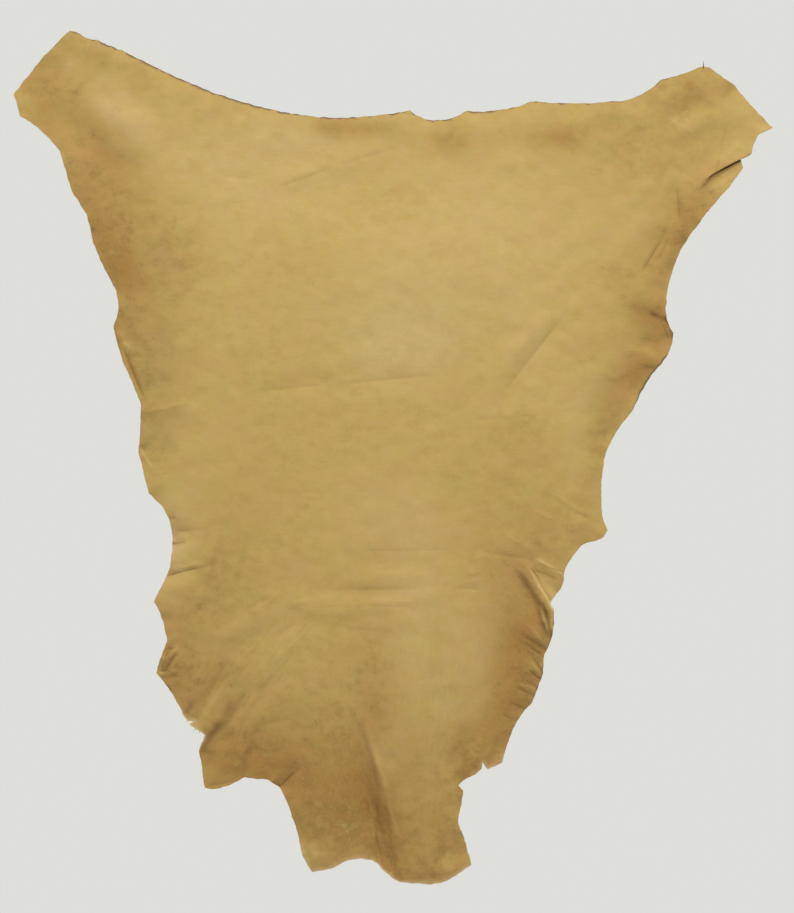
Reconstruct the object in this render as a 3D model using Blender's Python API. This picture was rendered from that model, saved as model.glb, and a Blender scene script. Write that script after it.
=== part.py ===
"""One whole buckskin hide, hanging by its two upper corners.

The skin is a single thin sheet in an upright plane. X runs to the right, Y to the back and Z up,
all in metres, and the face of the skin looks to -Y. The origin is the middle of the upper edge,
the rump, which dips between the two hind shanks that the hide hangs from. The neck is at the bottom.
Tables are in millimetres.
"""
import math
from typing import NamedTuple

import bmesh
import bpy
import numpy as np
from mathutils import Vector
from mathutils.geometry import delaunay_2d_cdt

MM = 0.001

# Driving dimensions, in millimetres.
THICKNESS = 1.5
EDGE_STEP = 11.0            # spacing of the points along the edge
GRID_STEP = 27.0            # spacing of the points on the calm middle of the skin
FOLD_STEP = 17.0            # spacing of the points along a fold
PLEAT_STEP = 9.0            # spacing of the points along the pleat
PLEAT_ROOM = 3.6            # a point near the pleat's line keeps this far from the next one
CROWD = 0.62                # share of a spacing within which a later point is left out
EDGE_CLEARANCE = 7.0        # a point inside the skin lies at least this far from its edge
PLEAT_CLEARANCE = 3.0       # and a point of the pleat at least this far
ROLL_REACH = 22.0           # how far in from the edge the skin rolls back
ROLL_DEPTH = 2.5            # how far back its very edge lies
FOLD_FADE = 0.3             # share of a fold's length over which each end dies out

# Finish of the dyed, brain-tanned face.
TAN = (0.50, 0.35, 0.13, 1.0)
TAN_ROUGHNESS = 0.85
RIM_ANGLE = math.radians(50.0)      # the cut edge stays sharp, and the folds are smooth


class Edge(NamedTuple):
    """One stretch of the cut edge: an arc from the last stretch's end to (x, z).

    bow is the height of the arc over its chord, positive where the edge swells outwards.
    """

    x: float
    z: float
    bow: float


class Fold(NamedTuple):
    """One fold of the skin: a soft ridge (rise > 0) or trough (rise < 0) along an arc.

    The arc runs from (x0, z0) to (x1, z1) and stands bow over its chord, to the left of its run.
    reach is the half width, and rise the height towards the front.
    """

    name: str
    x0: float
    z0: float
    x1: float
    z1: float
    bow: float
    reach: float
    rise: float


class Swell(NamedTuple):
    """One broad bulge (rise > 0) or hollow (rise < 0) of the hanging skin."""

    name: str
    x: float
    z: float
    reach_x: float
    reach_z: float
    rise: float


# The edge runs clockwise as seen from the front, from the tip of the left shank.
START = (-496.5, 118.5)

RUMP_EDGE = [
    Edge(-474.0, 122.0, 6.0),
    Edge(-447.0, 112.0, -2.0),
    Edge(-406.5, 95.0, -1.0),
    Edge(-256.5, 26.0, -3.0),
    Edge(-91.5, -7.5, -5.2),
    Edge(-15.0, -2.5, -0.8),
    Edge(25.0, 4.5, -1.0),
    Edge(70.5, -11.0, -5.0),
    Edge(110.5, 2.5, -2.4),
    Edge(193.0, 11.5, -3.5),
    Edge(208.5, 17.5, 0.5),
    Edge(327.0, 17.0, -2.5),
    Edge(403.5, 51.0, -8.0),
    Edge(457.5, 69.5, -1.5),
    Edge(477.0, 71.5, 1.5),
]
RIGHT_SHANK = [
    Edge(514.0, 46.5, -1.0),
    Edge(551.0, 3.5, -0.5),
    Edge(571.5, -18.0, 0.5),
    Edge(551.0, -29.0, 0.0),
    Edge(535.0, -56.0, -0.5),
    Edge(526.0, -69.5, 0.0),
    Edge(528.0, -81.0, 0.5),
    Edge(495.0, -121.0, 0.5),
    Edge(457.0, -168.5, -1.0),
]
RIGHT_FLANK = [
    Edge(424.0, -223.0, -3.0),
    Edge(409.0, -291.0, -3.0),
    Edge(420.5, -329.5, -3.5),
    Edge(411.0, -364.0, 2.2),
    Edge(392.0, -387.0, 0.5),
    Edge(363.0, -436.5, -1.5),
    Edge(351.5, -455.5, 1.0),
    Edge(316.0, -521.0, -5.0),
    Edge(313.0, -601.5, -2.5),
    Edge(321.0, -625.5, -1.0),
    Edge(302.5, -641.5, 3.5),
]
RIGHT_FORELEG = [
    Edge(275.0, -656.5, -4.3),
    Edge(256.5, -690.0, -2.0),
    Edge(252.0, -711.5, 1.0),
    Edge(235.0, -734.5, 0.0),
    Edge(240.0, -745.5, 0.0),
    Edge(239.0, -782.0, 1.0),
    Edge(227.0, -811.5, 1.0),
    Edge(224.5, -841.0, -1.0),
    Edge(207.5, -886.0, 1.0),
    Edge(180.0, -924.0, -2.0),
    Edge(163.5, -974.0, -0.5),
    Edge(142.0, -984.0, 1.5),
    Edge(134.5, -974.0, 0.0),
    Edge(132.5, -983.5, 0.0),
    Edge(117.5, -994.0, 1.0),
    Edge(98.0, -1008.0, -1.0),
]
NECK_EDGE = [
    Edge(105.5, -1016.0, 0.0),
    Edge(96.5, -1061.0, 1.0),
    Edge(107.0, -1090.0, 0.0),
    Edge(118.0, -1129.0, 0.0),
    Edge(100.0, -1141.0, 0.0),
    Edge(55.5, -1159.0, 3.5),
    Edge(9.0, -1154.5, 0.5),
    Edge(-17.0, -1136.5, 1.5),
    Edge(-36.0, -1122.5, -3.0),
    Edge(-78.0, -1127.0, -4.0),
    Edge(-121.5, -1139.5, 3.0),
    Edge(-140.0, -1098.0, 3.3),
    Edge(-150.0, -1059.5, -0.5),
    Edge(-170.0, -1012.0, -2.0),
    Edge(-175.0, -1009.0, 0.0),
]
LEFT_FORELEG = [
    Edge(-189.0, -1000.0, 0.0),
    Edge(-223.0, -997.0, 0.0),
    Edge(-249.5, -1010.5, 0.0),
    Edge(-270.5, -1015.0, 1.0),
    Edge(-283.0, -1013.5, 0.5),
    Edge(-292.0, -957.0, 0.0),
    Edge(-283.0, -934.0, 0.0),
    Edge(-306.0, -918.0, 0.0),
    Edge(-298.5, -912.5, 0.0),
    Edge(-309.5, -913.0, 0.0),
    Edge(-315.0, -905.5, 0.0),
    Edge(-355.0, -840.0, -3.5),
    Edge(-339.0, -791.0, 0.5),
    Edge(-357.5, -733.0, -3.0),
]
LEFT_FLANK = [
    Edge(-334.0, -681.0, 0.0),
    Edge(-332.0, -626.0, -2.0),
    Edge(-365.0, -571.5, -7.0),
    Edge(-381.5, -506.0, 0.5),
    Edge(-378.0, -436.5, -1.5),
    Edge(-396.0, -391.0, 0.0),
    Edge(-419.0, -318.0, 3.0),
    Edge(-411.5, -295.0, 0.0),
    Edge(-424.5, -249.0, -4.0),
    Edge(-451.0, -190.0, 1.5),
]
LEFT_SHANK = [
    Edge(-460.0, -152.0, -0.5),
    Edge(-481.0, -119.0, -0.5),
    Edge(-501.0, -56.0, 0.0),
    Edge(-562.0, -1.0, -4.3),
    Edge(-569.0, 23.0, 1.0),
    Edge(-573.0, 31.5, 0.0),
    Edge(-559.5, 49.0, 0.0),
    Edge(-536.5, 79.5, 0.0),
    Edge(-505.5, 110.0, 0.0),
    Edge(START[0], START[1], 0.0),
]
OUTLINE = (RUMP_EDGE + RIGHT_SHANK + RIGHT_FLANK + RIGHT_FORELEG
           + NECK_EDGE + LEFT_FORELEG + LEFT_FLANK + LEFT_SHANK)

SWELLS = [
    Swell("belly of the skin", -10.0, -430.0, 330.0, 420.0, 34.0),
    Swell("hips behind the lower half", 0.0, -830.0, 190.0, 190.0, 20.0),
    Swell("sag below the rump edge", -60.0, -90.0, 240.0, 110.0, -12.0),
    Swell("left shank drawn back", -540.0, 60.0, 110.0, 120.0, -26.0),
    Swell("right shank drawn back", 530.0, 10.0, 110.0, 120.0, -26.0),
    Swell("neck falling back", -20.0, -1130.0, 150.0, 110.0, -18.0),
    Swell("left foreleg falling back", -290.0, -950.0, 90.0, 110.0, -14.0),
    Swell("right foreleg falling back", 190.0, -900.0, 70.0, 130.0, -14.0),
    Swell("puff at the right grip", 510.0, 6.0, 30.0, 26.0, 5.0),
    Swell("dimple of the right shank", 436.0, -198.0, 16.0, 14.0, -5.0),
]

FOLDS = [
    # Under the rump edge and on the left shank.
    Fold("sag fold under the rump", -195.0, -113.0, 10.0, -46.0, 0.0, 15.0, 3.0),
    Fold("left shank ridge", -535.0, 62.0, -330.0, -52.0, -8.0, 26.0, 4.5),
    Fold("left shank trough", -520.0, 18.0, -360.0, -105.0, -8.0, 24.0, -4.0),
    # Right shank, drawn from its grip.
    Fold("right shank upper ridge", 478.0, 40.0, 392.0, 16.0, 0.0, 13.0, 3.0),
    Fold("right shank trough", 486.0, 28.0, 398.0, -8.0, 0.0, 13.0, -3.5),
    Fold("right shank lower ridge", 500.0, 12.0, 400.0, -38.0, 4.0, 15.0, 3.5),
    Fold("hollow over the pleat", 520.0, -34.0, 410.0, -92.0, 5.0, 17.0, -3.0),
    Fold("short upright crease", 426.0, -100.0, 432.0, -168.0, 0.0, 8.0, -3.0),
    Fold("ridge beside the short crease", 440.0, -104.0, 446.0, -160.0, 0.0, 9.0, 2.5),
    Fold("long crease off the shank", 408.0, -168.0, 364.0, -262.0, 3.0, 9.0, -3.5),
    Fold("ridge beside the long crease", 424.0, -178.0, 382.0, -262.0, 3.0, 11.0, 3.5),
    # Right flank.
    Fold("ridge over the flank's tip", 430.0, -284.0, 366.0, -292.0, 0.0, 16.0, 4.5),
    Fold("trough into the flank's tip", 440.0, -344.0, 362.0, -352.0, 0.0, 15.0, -5.5),
    Fold("ridge under the flank's tip", 432.0, -366.0, 362.0, -372.0, 0.0, 12.0, 5.0),
    Fold("slanting crease", 263.0, -290.0, 150.0, -436.0, 0.0, 9.0, -2.6),
    Fold("ridge over the slanting crease", 247.0, -284.0, 136.0, -424.0, 0.0, 15.0, 2.4),
    Fold("second slanting crease", 314.0, -340.0, 290.0, -392.0, 0.0, 11.0, -2.2),
    # Left flank and the middle.
    Fold("rolled left flank", -412.0, -352.0, -378.0, -438.0, 3.0, 10.0, 3.5),
    Fold("hollow behind the rolled flank", -398.0, -345.0, -362.0, -436.0, 3.0, 10.0, -2.5),
    Fold("left flank crease", -392.0, -447.0, -292.0, -434.0, 0.0, 9.0, 2.5),
    Fold("level crease", -218.0, -419.0, 92.0, -391.0, 2.0, 9.0, -1.8),
    Fold("first left pleat", -352.0, -606.0, -322.0, -606.0, 0.0, 9.0, -2.5),
    Fold("second left pleat", -356.0, -632.0, -290.0, -630.0, 0.0, 9.0, -3.0),
    Fold("third left pleat", -352.0, -650.0, -312.0, -642.0, 0.0, 7.0, -2.5),
    Fold("fourth left pleat", -362.0, -703.0, -286.0, -682.0, 0.0, 9.0, -5.0),
    Fold("ridge under the fourth pleat", -362.0, -722.0, -286.0, -700.0, 0.0, 11.0, 3.0),
    Fold("ruffle at the left corner", -366.0, -824.0, -318.0, -812.0, 0.0, 9.0, 3.5),
    # Level bands over the hips.
    Fold("upper hollow of the bands", -66.0, -672.0, 62.0, -672.0, 0.0, 13.0, -2.5),
    Fold("upper ridge of the bands", -55.0, -698.0, 66.0, -698.0, 0.0, 11.0, 3.0),
    Fold("deep hollow of the bands", -120.0, -720.0, 100.0, -719.0, 0.0, 10.0, -3.5),
    Fold("long ridge of the bands", -182.0, -740.0, 110.0, -734.0, 3.0, 10.0, 4.5),
    Fold("low ridge of the bands", -40.0, -764.0, 45.0, -763.0, 0.0, 11.0, 2.0),
    # Fan of folds that runs up from the left foreleg.
    Fold("fan: rising ridge", -272.0, -812.0, -160.0, -738.0, 8.0, 13.0, 3.5),
    Fold("fan: rising trough", -262.0, -836.0, -140.0, -752.0, 8.0, 13.0, -2.5),
    Fold("fan: outer ridge", -310.0, -890.0, -248.0, -800.0, 0.0, 14.0, 4.0),
    Fold("fan: outer trough", -306.0, -940.0, -236.0, -816.0, 0.0, 12.0, -4.0),
    Fold("fan: main ridge", -296.0, -965.0, -208.0, -806.0, 0.0, 12.0, 8.0),
    Fold("fan: main trough", -290.0, -972.0, -192.0, -816.0, 5.0, 10.0, -7.5),
    Fold("fan: inner ridge", -280.0, -962.0, -116.0, -772.0, 18.0, 11.0, 6.0),
    Fold("fan: inner trough", -276.0, -985.0, -130.0, -806.0, 17.0, 12.0, -6.0),
    Fold("fan: lower ridge", -270.0, -990.0, -178.0, -872.0, 6.0, 13.0, 4.5),
    Fold("foreleg lobe ridge", -290.0, -1000.0, -212.0, -942.0, 0.0, 13.0, 4.5),
    Fold("foreleg lobe trough", -254.0, -1004.0, -192.0, -938.0, 0.0, 13.0, -5.5),
    Fold("gather at the left notch", -184.0, -1022.0, -140.0, -975.0, 0.0, 9.0, -6.0),
    # Folds that run down the neck.
    Fold("neck hollow, left", -62.0, -880.0, -36.0, -1100.0, 0.0, 14.0, -5.0),
    Fold("neck ridge", -46.0, -880.0, -10.0, -1075.0, 3.0, 10.0, 8.0),
    Fold("neck hollow, low", -38.0, -1020.0, -4.0, -1170.0, 2.0, 12.0, -6.0),
    Fold("left lobe of the neck", -108.0, -960.0, -84.0, -1170.0, 0.0, 34.0, 6.0),
    Fold("right lobe of the neck", 42.0, -1000.0, 52.0, -1190.0, 0.0, 38.0, 7.0),
    Fold("ridge down the neck's right", 68.0, -955.0, 102.0, -1105.0, 4.0, 11.0, 5.0),
    Fold("faint upright ridge", 86.0, -790.0, 84.0, -975.0, 0.0, 13.0, 2.5),
    Fold("hollow in the right armpit", 106.0, -940.0, 92.0, -1015.0, 0.0, 13.0, -5.0),
    # Folds at the right foreleg.
    Fold("hollow left of the notch", 172.0, -664.0, 222.0, -752.0, -4.0, 12.0, -7.0),
    Fold("main fold into the notch", 188.0, -668.0, 244.0, -762.0, -4.0, 9.0, 9.0),
    Fold("hollow right of the main fold", 208.0, -676.0, 252.0, -735.0, 0.0, 8.0, -5.0),
    Fold("upper fold into the notch", 208.0, -672.0, 272.0, -706.0, 0.0, 8.0, 5.0),
    Fold("first ruffle", 184.0, -748.0, 236.0, -812.0, -4.0, 9.0, 4.0),
    Fold("second ruffle", 168.0, -820.0, 226.0, -842.0, 0.0, 10.0, 3.0),
    Fold("third ruffle", 158.0, -862.0, 216.0, -884.0, 0.0, 10.0, 2.5),
    Fold("hollow over the tear", 112.0, -905.0, 120.0, -965.0, 0.0, 14.0, -3.0),
]


class Pleat(NamedTuple):
    """A flap of the skin that laps over its neighbour along a straight line.

    The line runs from (x0, z0) just outside the edge to (x1, z1), where the pleat dies out.
    """

    x0: float
    z0: float
    x1: float
    z1: float
    lip: float            # how far the upper flap stands to the front
    lip_reach: float      # how far from the line it does
    drop: float           # how far the lower flap lies behind it
    drop_reach: float
    lean: float           # how far the lip leans out over the lower flap
    lean_reach: float
    fade: float           # share of the line over which the pleat dies out


PLEAT = Pleat(534.0, -63.0, 443.0, -119.6, 8.0, 11.0, 5.0, 16.0, 5.0, 5.0, 0.65)
PLEAT_OFFSETS = (-26.0, -14.0, -6.0, -1.5, 2.5, 7.0, 15.0)


def smooth(value):
    """Eases numbers from 0 to 1 with level ends."""
    held = np.clip(value, 0.0, 1.0)
    return held * held * (3.0 - 2.0 * held)


def arc(start, end, bow, step):
    """Returns points along an arc that stands bow to the left of its chord, all but its end."""
    start = np.array(start)
    chord = np.array(end) - start
    length = float(np.hypot(*chord))
    count = max(1, round(length / step))
    along = np.arange(count) / count
    left = np.array((-chord[1], chord[0])) / length
    lift = 4.0 * bow * along * (1.0 - along)
    return start + along[:, None] * chord + lift[:, None] * left


def outline_points():
    """Returns the closed edge of the skin as points in the upright plane."""
    runs = []
    last = START
    for edge in OUTLINE:
        runs.append(arc(last, (edge.x, edge.z), edge.bow, EDGE_STEP))
        last = (edge.x, edge.z)
    return np.concatenate(runs)


def nearest_on(points, line):
    """Returns each point's distance to a polyline and its place along it, from 0 to 1."""
    best = np.full(len(points), np.inf)
    place = np.zeros(len(points))
    for index in range(len(line) - 1):
        start = line[index]
        run = line[index + 1] - start
        along = np.clip(((points - start) @ run) / (run @ run), 0.0, 1.0)
        away = np.hypot(*(points - start - along[:, None] * run).T)
        closer = away < best
        best = np.where(closer, away, best)
        place = np.where(closer, (index + along) / (len(line) - 1), place)
    return best, place


def fold_line(fold):
    """Returns the points of a fold's line, both ends included."""
    start = (fold.x0, fold.z0)
    end = (fold.x1, fold.z1)
    return np.vstack([arc(start, end, fold.bow, FOLD_STEP), [end]])


def pleat_axes():
    """Returns the pleat's start, its run as a vector, and the unit vector across it, downwards."""
    start = np.array((PLEAT.x0, PLEAT.z0))
    run = np.array((PLEAT.x1, PLEAT.z1)) - start
    across = np.array((-run[1], run[0])) / np.hypot(*run)
    return start, run, across


def broad_form(points):
    """Returns how far the swells bring each point to the front."""
    front = np.zeros(len(points))
    for swell in SWELLS:
        wide = (points[:, 0] - swell.x) / swell.reach_x
        tall = (points[:, 1] - swell.z) / swell.reach_z
        front += swell.rise * np.exp(-wide * wide - tall * tall)
    return front


def folded_form(points):
    """Returns how far the folds bring each point to the front."""
    front = np.zeros(len(points))
    for fold in FOLDS:
        away, place = nearest_on(points, fold_line(fold))
        fade = smooth(place / FOLD_FADE) * smooth((1.0 - place) / FOLD_FADE)
        front += fold.rise * fade * np.exp(-(away / fold.reach) ** 2)
    return front


def pleated_form(points):
    """Returns how far the pleat brings each point to the front, and how far it moves it sideways."""
    start, run, across = pleat_axes()
    below = (points - start) @ across
    place = ((points - start) @ run) / (run @ run)
    fade = smooth((1.0 - place) / PLEAT.fade)
    lip = fade * np.exp(-(below / PLEAT.lip_reach) ** 2) * (below < 0.0)
    under = fade * np.exp(-(below / PLEAT.drop_reach) ** 2) * (below >= 0.0)
    lean = PLEAT.lean * lip * np.exp(-(below / PLEAT.lean_reach) ** 2)
    return PLEAT.lip * lip - PLEAT.drop * under, lean[:, None] * across


def rolled_form(points, edge):
    """Returns how far back the skin rolls near its edge."""
    away, _ = nearest_on(points, np.vstack([edge, edge[:1]]))
    return ROLL_DEPTH * (1.0 - smooth(away / ROLL_REACH)) ** 2


def shape(points, edge):
    """Returns where the flat points of the skin lie as it hangs, edge being its closed outline."""
    pleated, sideways = pleated_form(points)
    front = broad_form(points) + folded_form(points) + pleated - rolled_form(points, edge)
    moved = points + sideways
    return np.column_stack([moved[:, 0], -front, moved[:, 1]])


def inside(points, edge):
    """Tells which points lie within the closed outline."""
    crossings = np.zeros(len(points), dtype=int)
    for start, end in zip(edge, np.roll(edge, -1, axis=0)):
        spans = (start[1] > points[:, 1]) != (end[1] > points[:, 1])
        if start[1] == end[1]:
            continue
        at = start[0] + (points[:, 1] - start[1]) * (end[0] - start[0]) / (end[1] - start[1])
        crossings += spans & (points[:, 0] < at)
    return crossings % 2 == 1


def pleat_points():
    """Returns points in rows beside the pleat's line, closest where it turns most."""
    start, run, across = pleat_axes()
    count = round(float(np.hypot(*run)) / PLEAT_STEP)
    rows = [start + along * run + offset * across
            for offset in PLEAT_OFFSETS for along in np.linspace(0.0, 1.0, count)]
    return np.array(rows)


def fold_points():
    """Returns points along the middle and both sides of each fold."""
    found = []
    for fold in FOLDS:
        line = fold_line(fold)
        run = np.gradient(line, axis=0)
        run /= np.hypot(*run.T)[:, None]
        left = np.column_stack([-run[:, 1], run[:, 0]])
        for offset in (0.0, -fold.reach, fold.reach):
            found.append(line + offset * left)
    return np.concatenate(found)


def grid_points(edge):
    """Returns an even triangular grid over the whole skin."""
    low = edge.min(axis=0)
    high = edge.max(axis=0)
    rows = []
    for row, z in enumerate(np.arange(low[1], high[1], GRID_STEP * math.sqrt(0.75))):
        shift = 0.5 * GRID_STEP * (row % 2)
        for x in np.arange(low[0] + shift, high[0], GRID_STEP):
            rows.append((x, z))
    return np.array(rows)


def sheet_points(edge):
    """Returns the edge's points followed by those inside, thinned where they crowd."""
    loop = np.vstack([edge, edge[:1]])
    groups = ((pleat_points(), PLEAT_ROOM, PLEAT_CLEARANCE),
              (fold_points(), FOLD_STEP * CROWD, EDGE_CLEARANCE),
              (grid_points(edge), GRID_STEP * CROWD, EDGE_CLEARANCE))
    kept = []
    for group, room, clearance in groups:
        group = group[inside(group, edge)]
        group = group[nearest_on(group, loop)[0] > clearance]
        for point in group:
            if not kept or np.hypot(*(np.array(kept) - point).T).min() > room:
                kept.append(point)
    return np.vstack([edge, kept])


def triangles(points, edge_count):
    """Returns the triangles between the points that lie within the edge."""
    flat = [Vector(point) for point in points]
    ring = [(index, (index + 1) % edge_count) for index in range(edge_count)]
    _, _, faces, _, _, _ = delaunay_2d_cdt(flat, ring, [], 1, 1e-5)
    return [tuple(face) for face in faces]


def outward(middle, faces):
    """Returns the unit normal of the middle of the skin at each point, towards the front."""
    normals = np.zeros_like(middle)
    for a, b, c in faces:
        normal = np.cross(middle[b] - middle[a], middle[c] - middle[a])
        if normal[1] > 0.0:
            normal = -normal
        for corner in (a, b, c):
            normals[corner] += normal
    return normals / np.linalg.norm(normals, axis=1)[:, None]


def skin_mesh():
    """Returns the skin's mesh: a front and a back face joined by a rim along the edge."""
    edge = outline_points()
    flat = sheet_points(edge)
    faces = triangles(flat, len(edge))
    middle = shape(flat, edge)
    middle[:, 1] -= middle[np.hypot(*flat.T).argmin(), 1]       # the top edge's middle is at Y = 0
    half = 0.5 * THICKNESS * outward(middle, faces)

    mesh = bmesh.new()
    front = [mesh.verts.new(place * MM) for place in middle + half]
    back = [mesh.verts.new(place * MM) for place in middle - half]
    for a, b, c in faces:
        mesh.faces.new((front[a], front[b], front[c]))
        mesh.faces.new((back[a], back[c], back[b]))
    for this in range(len(edge)):
        after = (this + 1) % len(edge)
        mesh.faces.new((front[after], front[this], back[this]))
        mesh.faces.new((front[after], back[this], back[after]))
    bmesh.ops.recalc_face_normals(mesh, faces=mesh.faces)
    data = bpy.data.meshes.new("hide")
    mesh.to_mesh(data)
    mesh.free()
    return data


def tan_material():
    """Returns the plain golden tan of the skin."""
    material = bpy.data.materials.new("golden_tan")
    material.use_nodes = True
    shader = material.node_tree.nodes["Principled BSDF"]
    shader.inputs["Base Color"].default_value = TAN
    shader.inputs["Roughness"].default_value = TAN_ROUGHNESS
    shader.inputs["Metallic"].default_value = 0.0
    return material


def main():
    """Builds the hide in an empty scene."""
    for item in list(bpy.data.objects):
        bpy.data.objects.remove(item, do_unlink=True)
    data = skin_mesh()
    data.materials.append(tan_material())
    data.shade_smooth()
    data.set_sharp_from_angle(angle=RIM_ANGLE)
    hide = bpy.data.objects.new("hide", data)
    bpy.context.scene.collection.objects.link(hide)


main()
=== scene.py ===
"""A whole tanned hide that hangs by its two hind shanks: its skin, cut edge, fibres and studio.

Tables and sizes are in millimetres and become metres where a mesh is written. X runs to the
right, Z up, and the face of the skin looks to -Y. A flat place is a point (x, z) of the upright
plane, and the rise there is how far the middle of the skin stands in front of that plane.
"""
import logging
import math
from collections.abc import Mapping, Sequence
from dataclasses import dataclass
from enum import Enum
from typing import NamedTuple

import bmesh
import bpy
import numpy as np
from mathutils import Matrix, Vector
from mathutils.geometry import delaunay_2d_cdt
from mathutils.kdtree import KDTree


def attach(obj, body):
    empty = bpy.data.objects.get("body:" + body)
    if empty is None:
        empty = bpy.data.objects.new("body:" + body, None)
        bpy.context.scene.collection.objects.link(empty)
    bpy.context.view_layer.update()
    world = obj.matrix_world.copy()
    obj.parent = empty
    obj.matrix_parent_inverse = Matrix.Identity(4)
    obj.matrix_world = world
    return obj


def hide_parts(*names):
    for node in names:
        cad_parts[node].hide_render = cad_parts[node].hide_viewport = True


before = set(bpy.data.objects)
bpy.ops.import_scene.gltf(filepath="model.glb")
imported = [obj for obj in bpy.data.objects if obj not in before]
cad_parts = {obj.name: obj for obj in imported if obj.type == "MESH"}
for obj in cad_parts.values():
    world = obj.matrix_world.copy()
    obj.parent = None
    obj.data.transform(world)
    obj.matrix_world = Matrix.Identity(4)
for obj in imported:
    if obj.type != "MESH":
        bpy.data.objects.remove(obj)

log = logging.getLogger("hide")

MM = 0.001

Places = np.ndarray         # rows of flat places (x, z)
Points = np.ndarray         # rows of points (x, y, z)
Numbers = np.ndarray        # one number for each place
Colour = tuple[float, float, float]


# --- Lines, patches and waves on the flat skin ---

def eased(value: Numbers) -> Numbers:
    """Eases numbers from 0 to 1 with level ends."""
    held = np.clip(value, 0.0, 1.0)
    return held * held * (3.0 - 2.0 * held)


def waves(places: Places, length: float, seed: int, count: int = 28) -> Numbers:
    """Adds up gentle waves that run in all directions.

    Args:
        places: where the waves are read.
        length: their usual length from crest to crest.
        seed: picks their directions and starts.
        count: how many there are.

    Returns:
        Numbers that spread by about one to either side of zero.
    """
    pick = np.random.default_rng(seed)
    turns = pick.uniform(0.0, 2.0 * math.pi, count)
    pace = 2.0 * math.pi / (length * pick.uniform(0.7, 1.6, count))
    starts = pick.uniform(0.0, 2.0 * math.pi, count)
    run = places @ np.array([np.cos(turns), np.sin(turns)])
    return np.sin(run * pace + starts).sum(axis=1) * math.sqrt(2.0 / count)


def nearest(places: Places, known: Places) -> tuple[Numbers, np.ndarray]:
    """Finds the nearest of the known places.

    Args:
        places: where to look from.
        known: the places to be found.

    Returns:
        Each place's distance to its nearest known one, and that one's number.
    """
    tree = KDTree(len(known))
    for index, (x, z) in enumerate(known):
        tree.insert((x, z, 0.0), index)
    tree.balance()
    found = [tree.find((x, z, 0.0)) for x, z in places]
    return (np.array([distance for _, _, distance in found]),
            np.array([index for _, index, _ in found]))


def outward(ring: Places) -> Places:
    """Returns the unit vectors out of a closed, anticlockwise ring of places."""
    way = np.roll(ring, -1, axis=0) - np.roll(ring, 1, axis=0)
    return np.column_stack([way[:, 1], -way[:, 0]]) / np.hypot(*way.T)[:, None]


def added(name: str, data: bpy.types.ID) -> bpy.types.Object:
    """Adds an object to the scene.

    Args:
        name: its name.
        data: its mesh, light or camera.

    Returns:
        The object.
    """
    made = bpy.data.objects.new(name, data)
    bpy.context.collection.objects.link(made)
    return made


def mesh_of(name: str, form: bmesh.types.BMesh) -> bpy.types.Mesh:
    """Turns a form into a mesh, and frees the form.

    Args:
        name: the mesh's name.
        form: the form.

    Returns:
        The mesh.
    """
    data = bpy.data.meshes.new(name)
    form.to_mesh(data)
    form.free()
    return data


@dataclass(frozen=True)
class Line:
    """A line over the skin that bends evenly from (x0, z0) to (x1, z1).

    Attributes:
        bow: how far it stands to the left of its chord at mid length.
    """

    x0: float
    z0: float
    x1: float
    z1: float
    bow: float = 0.0

    @property
    def start(self) -> np.ndarray:
        """The first end."""
        return np.array((self.x0, self.z0))

    @property
    def run(self) -> np.ndarray:
        """The way from the first end to the last."""
        return np.array((self.x1 - self.x0, self.z1 - self.z0))

    @property
    def length(self) -> float:
        """The length of the chord."""
        return float(np.hypot(*self.run))

    @property
    def left(self) -> np.ndarray:
        """The unit vector to the left of the run."""
        return np.array((-self.run[1], self.run[0])) / self.length

    def locate(self, places: Places) -> tuple[Numbers, Numbers]:
        """Tells where places lie by this line.

        Args:
            places: the flat places.

        Returns:
            The share of the way along, 0 to 1 beside the line, and the distance to its left.
        """
        along = ((places - self.start) @ self.run) / self.length ** 2
        held = np.clip(along, 0.0, 1.0)
        beside = (places - self.start) @ self.left - 4.0 * self.bow * held * (1.0 - held)
        return along, beside

    def row(self, step: float, beside: float = 0.0) -> Places:
        """Lays places along the line.

        Args:
            step: how far apart they are.
            beside: how far they lie to the line's left.

        Returns:
            The places.
        """
        along = np.linspace(0.0, 1.0, max(2, round(self.length / step) + 1))
        lift = beside + 4.0 * self.bow * along * (1.0 - along)
        return self.start + along[:, None] * self.run + lift[:, None] * self.left


class Crease(NamedTuple):
    """One sharp crease, fine wrinkle or scar of the skin.

    Attributes:
        rise: the height of its middle towards the front, negative for a groove.
        reach: its half width.
        tint: how much paler (positive) or darker its middle is painted: painted highlight on a
            ridge, painted shade in a groove, or the own colour of a scar, speck or fleck.
    """

    name: str
    x0: float
    z0: float
    x1: float
    z1: float
    bow: float
    reach: float
    rise: float
    tint: float

    @property
    def line(self) -> Line:
        """The line that it follows."""
        return Line(self.x0, self.z0, self.x1, self.z1, self.bow)

    def profile(self, places: Places, fade: float = 0.3) -> Numbers:
        """Gives the crease's shape.

        Args:
            places: where it is read.
            fade: the share of its length over which each end dies out.

        Returns:
            Numbers from 1 along its middle to 0 well away from it.
        """
        along, beside = self.line.locate(places)
        ends = eased(along / fade) * eased((1.0 - along) / fade)
        return ends * np.exp(-(beside / self.reach) ** 2)


def creases(*rows: tuple) -> tuple[Crease, ...]:
    """Returns the creases of a table of rows."""
    return tuple(Crease(*row) for row in rows)


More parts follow.
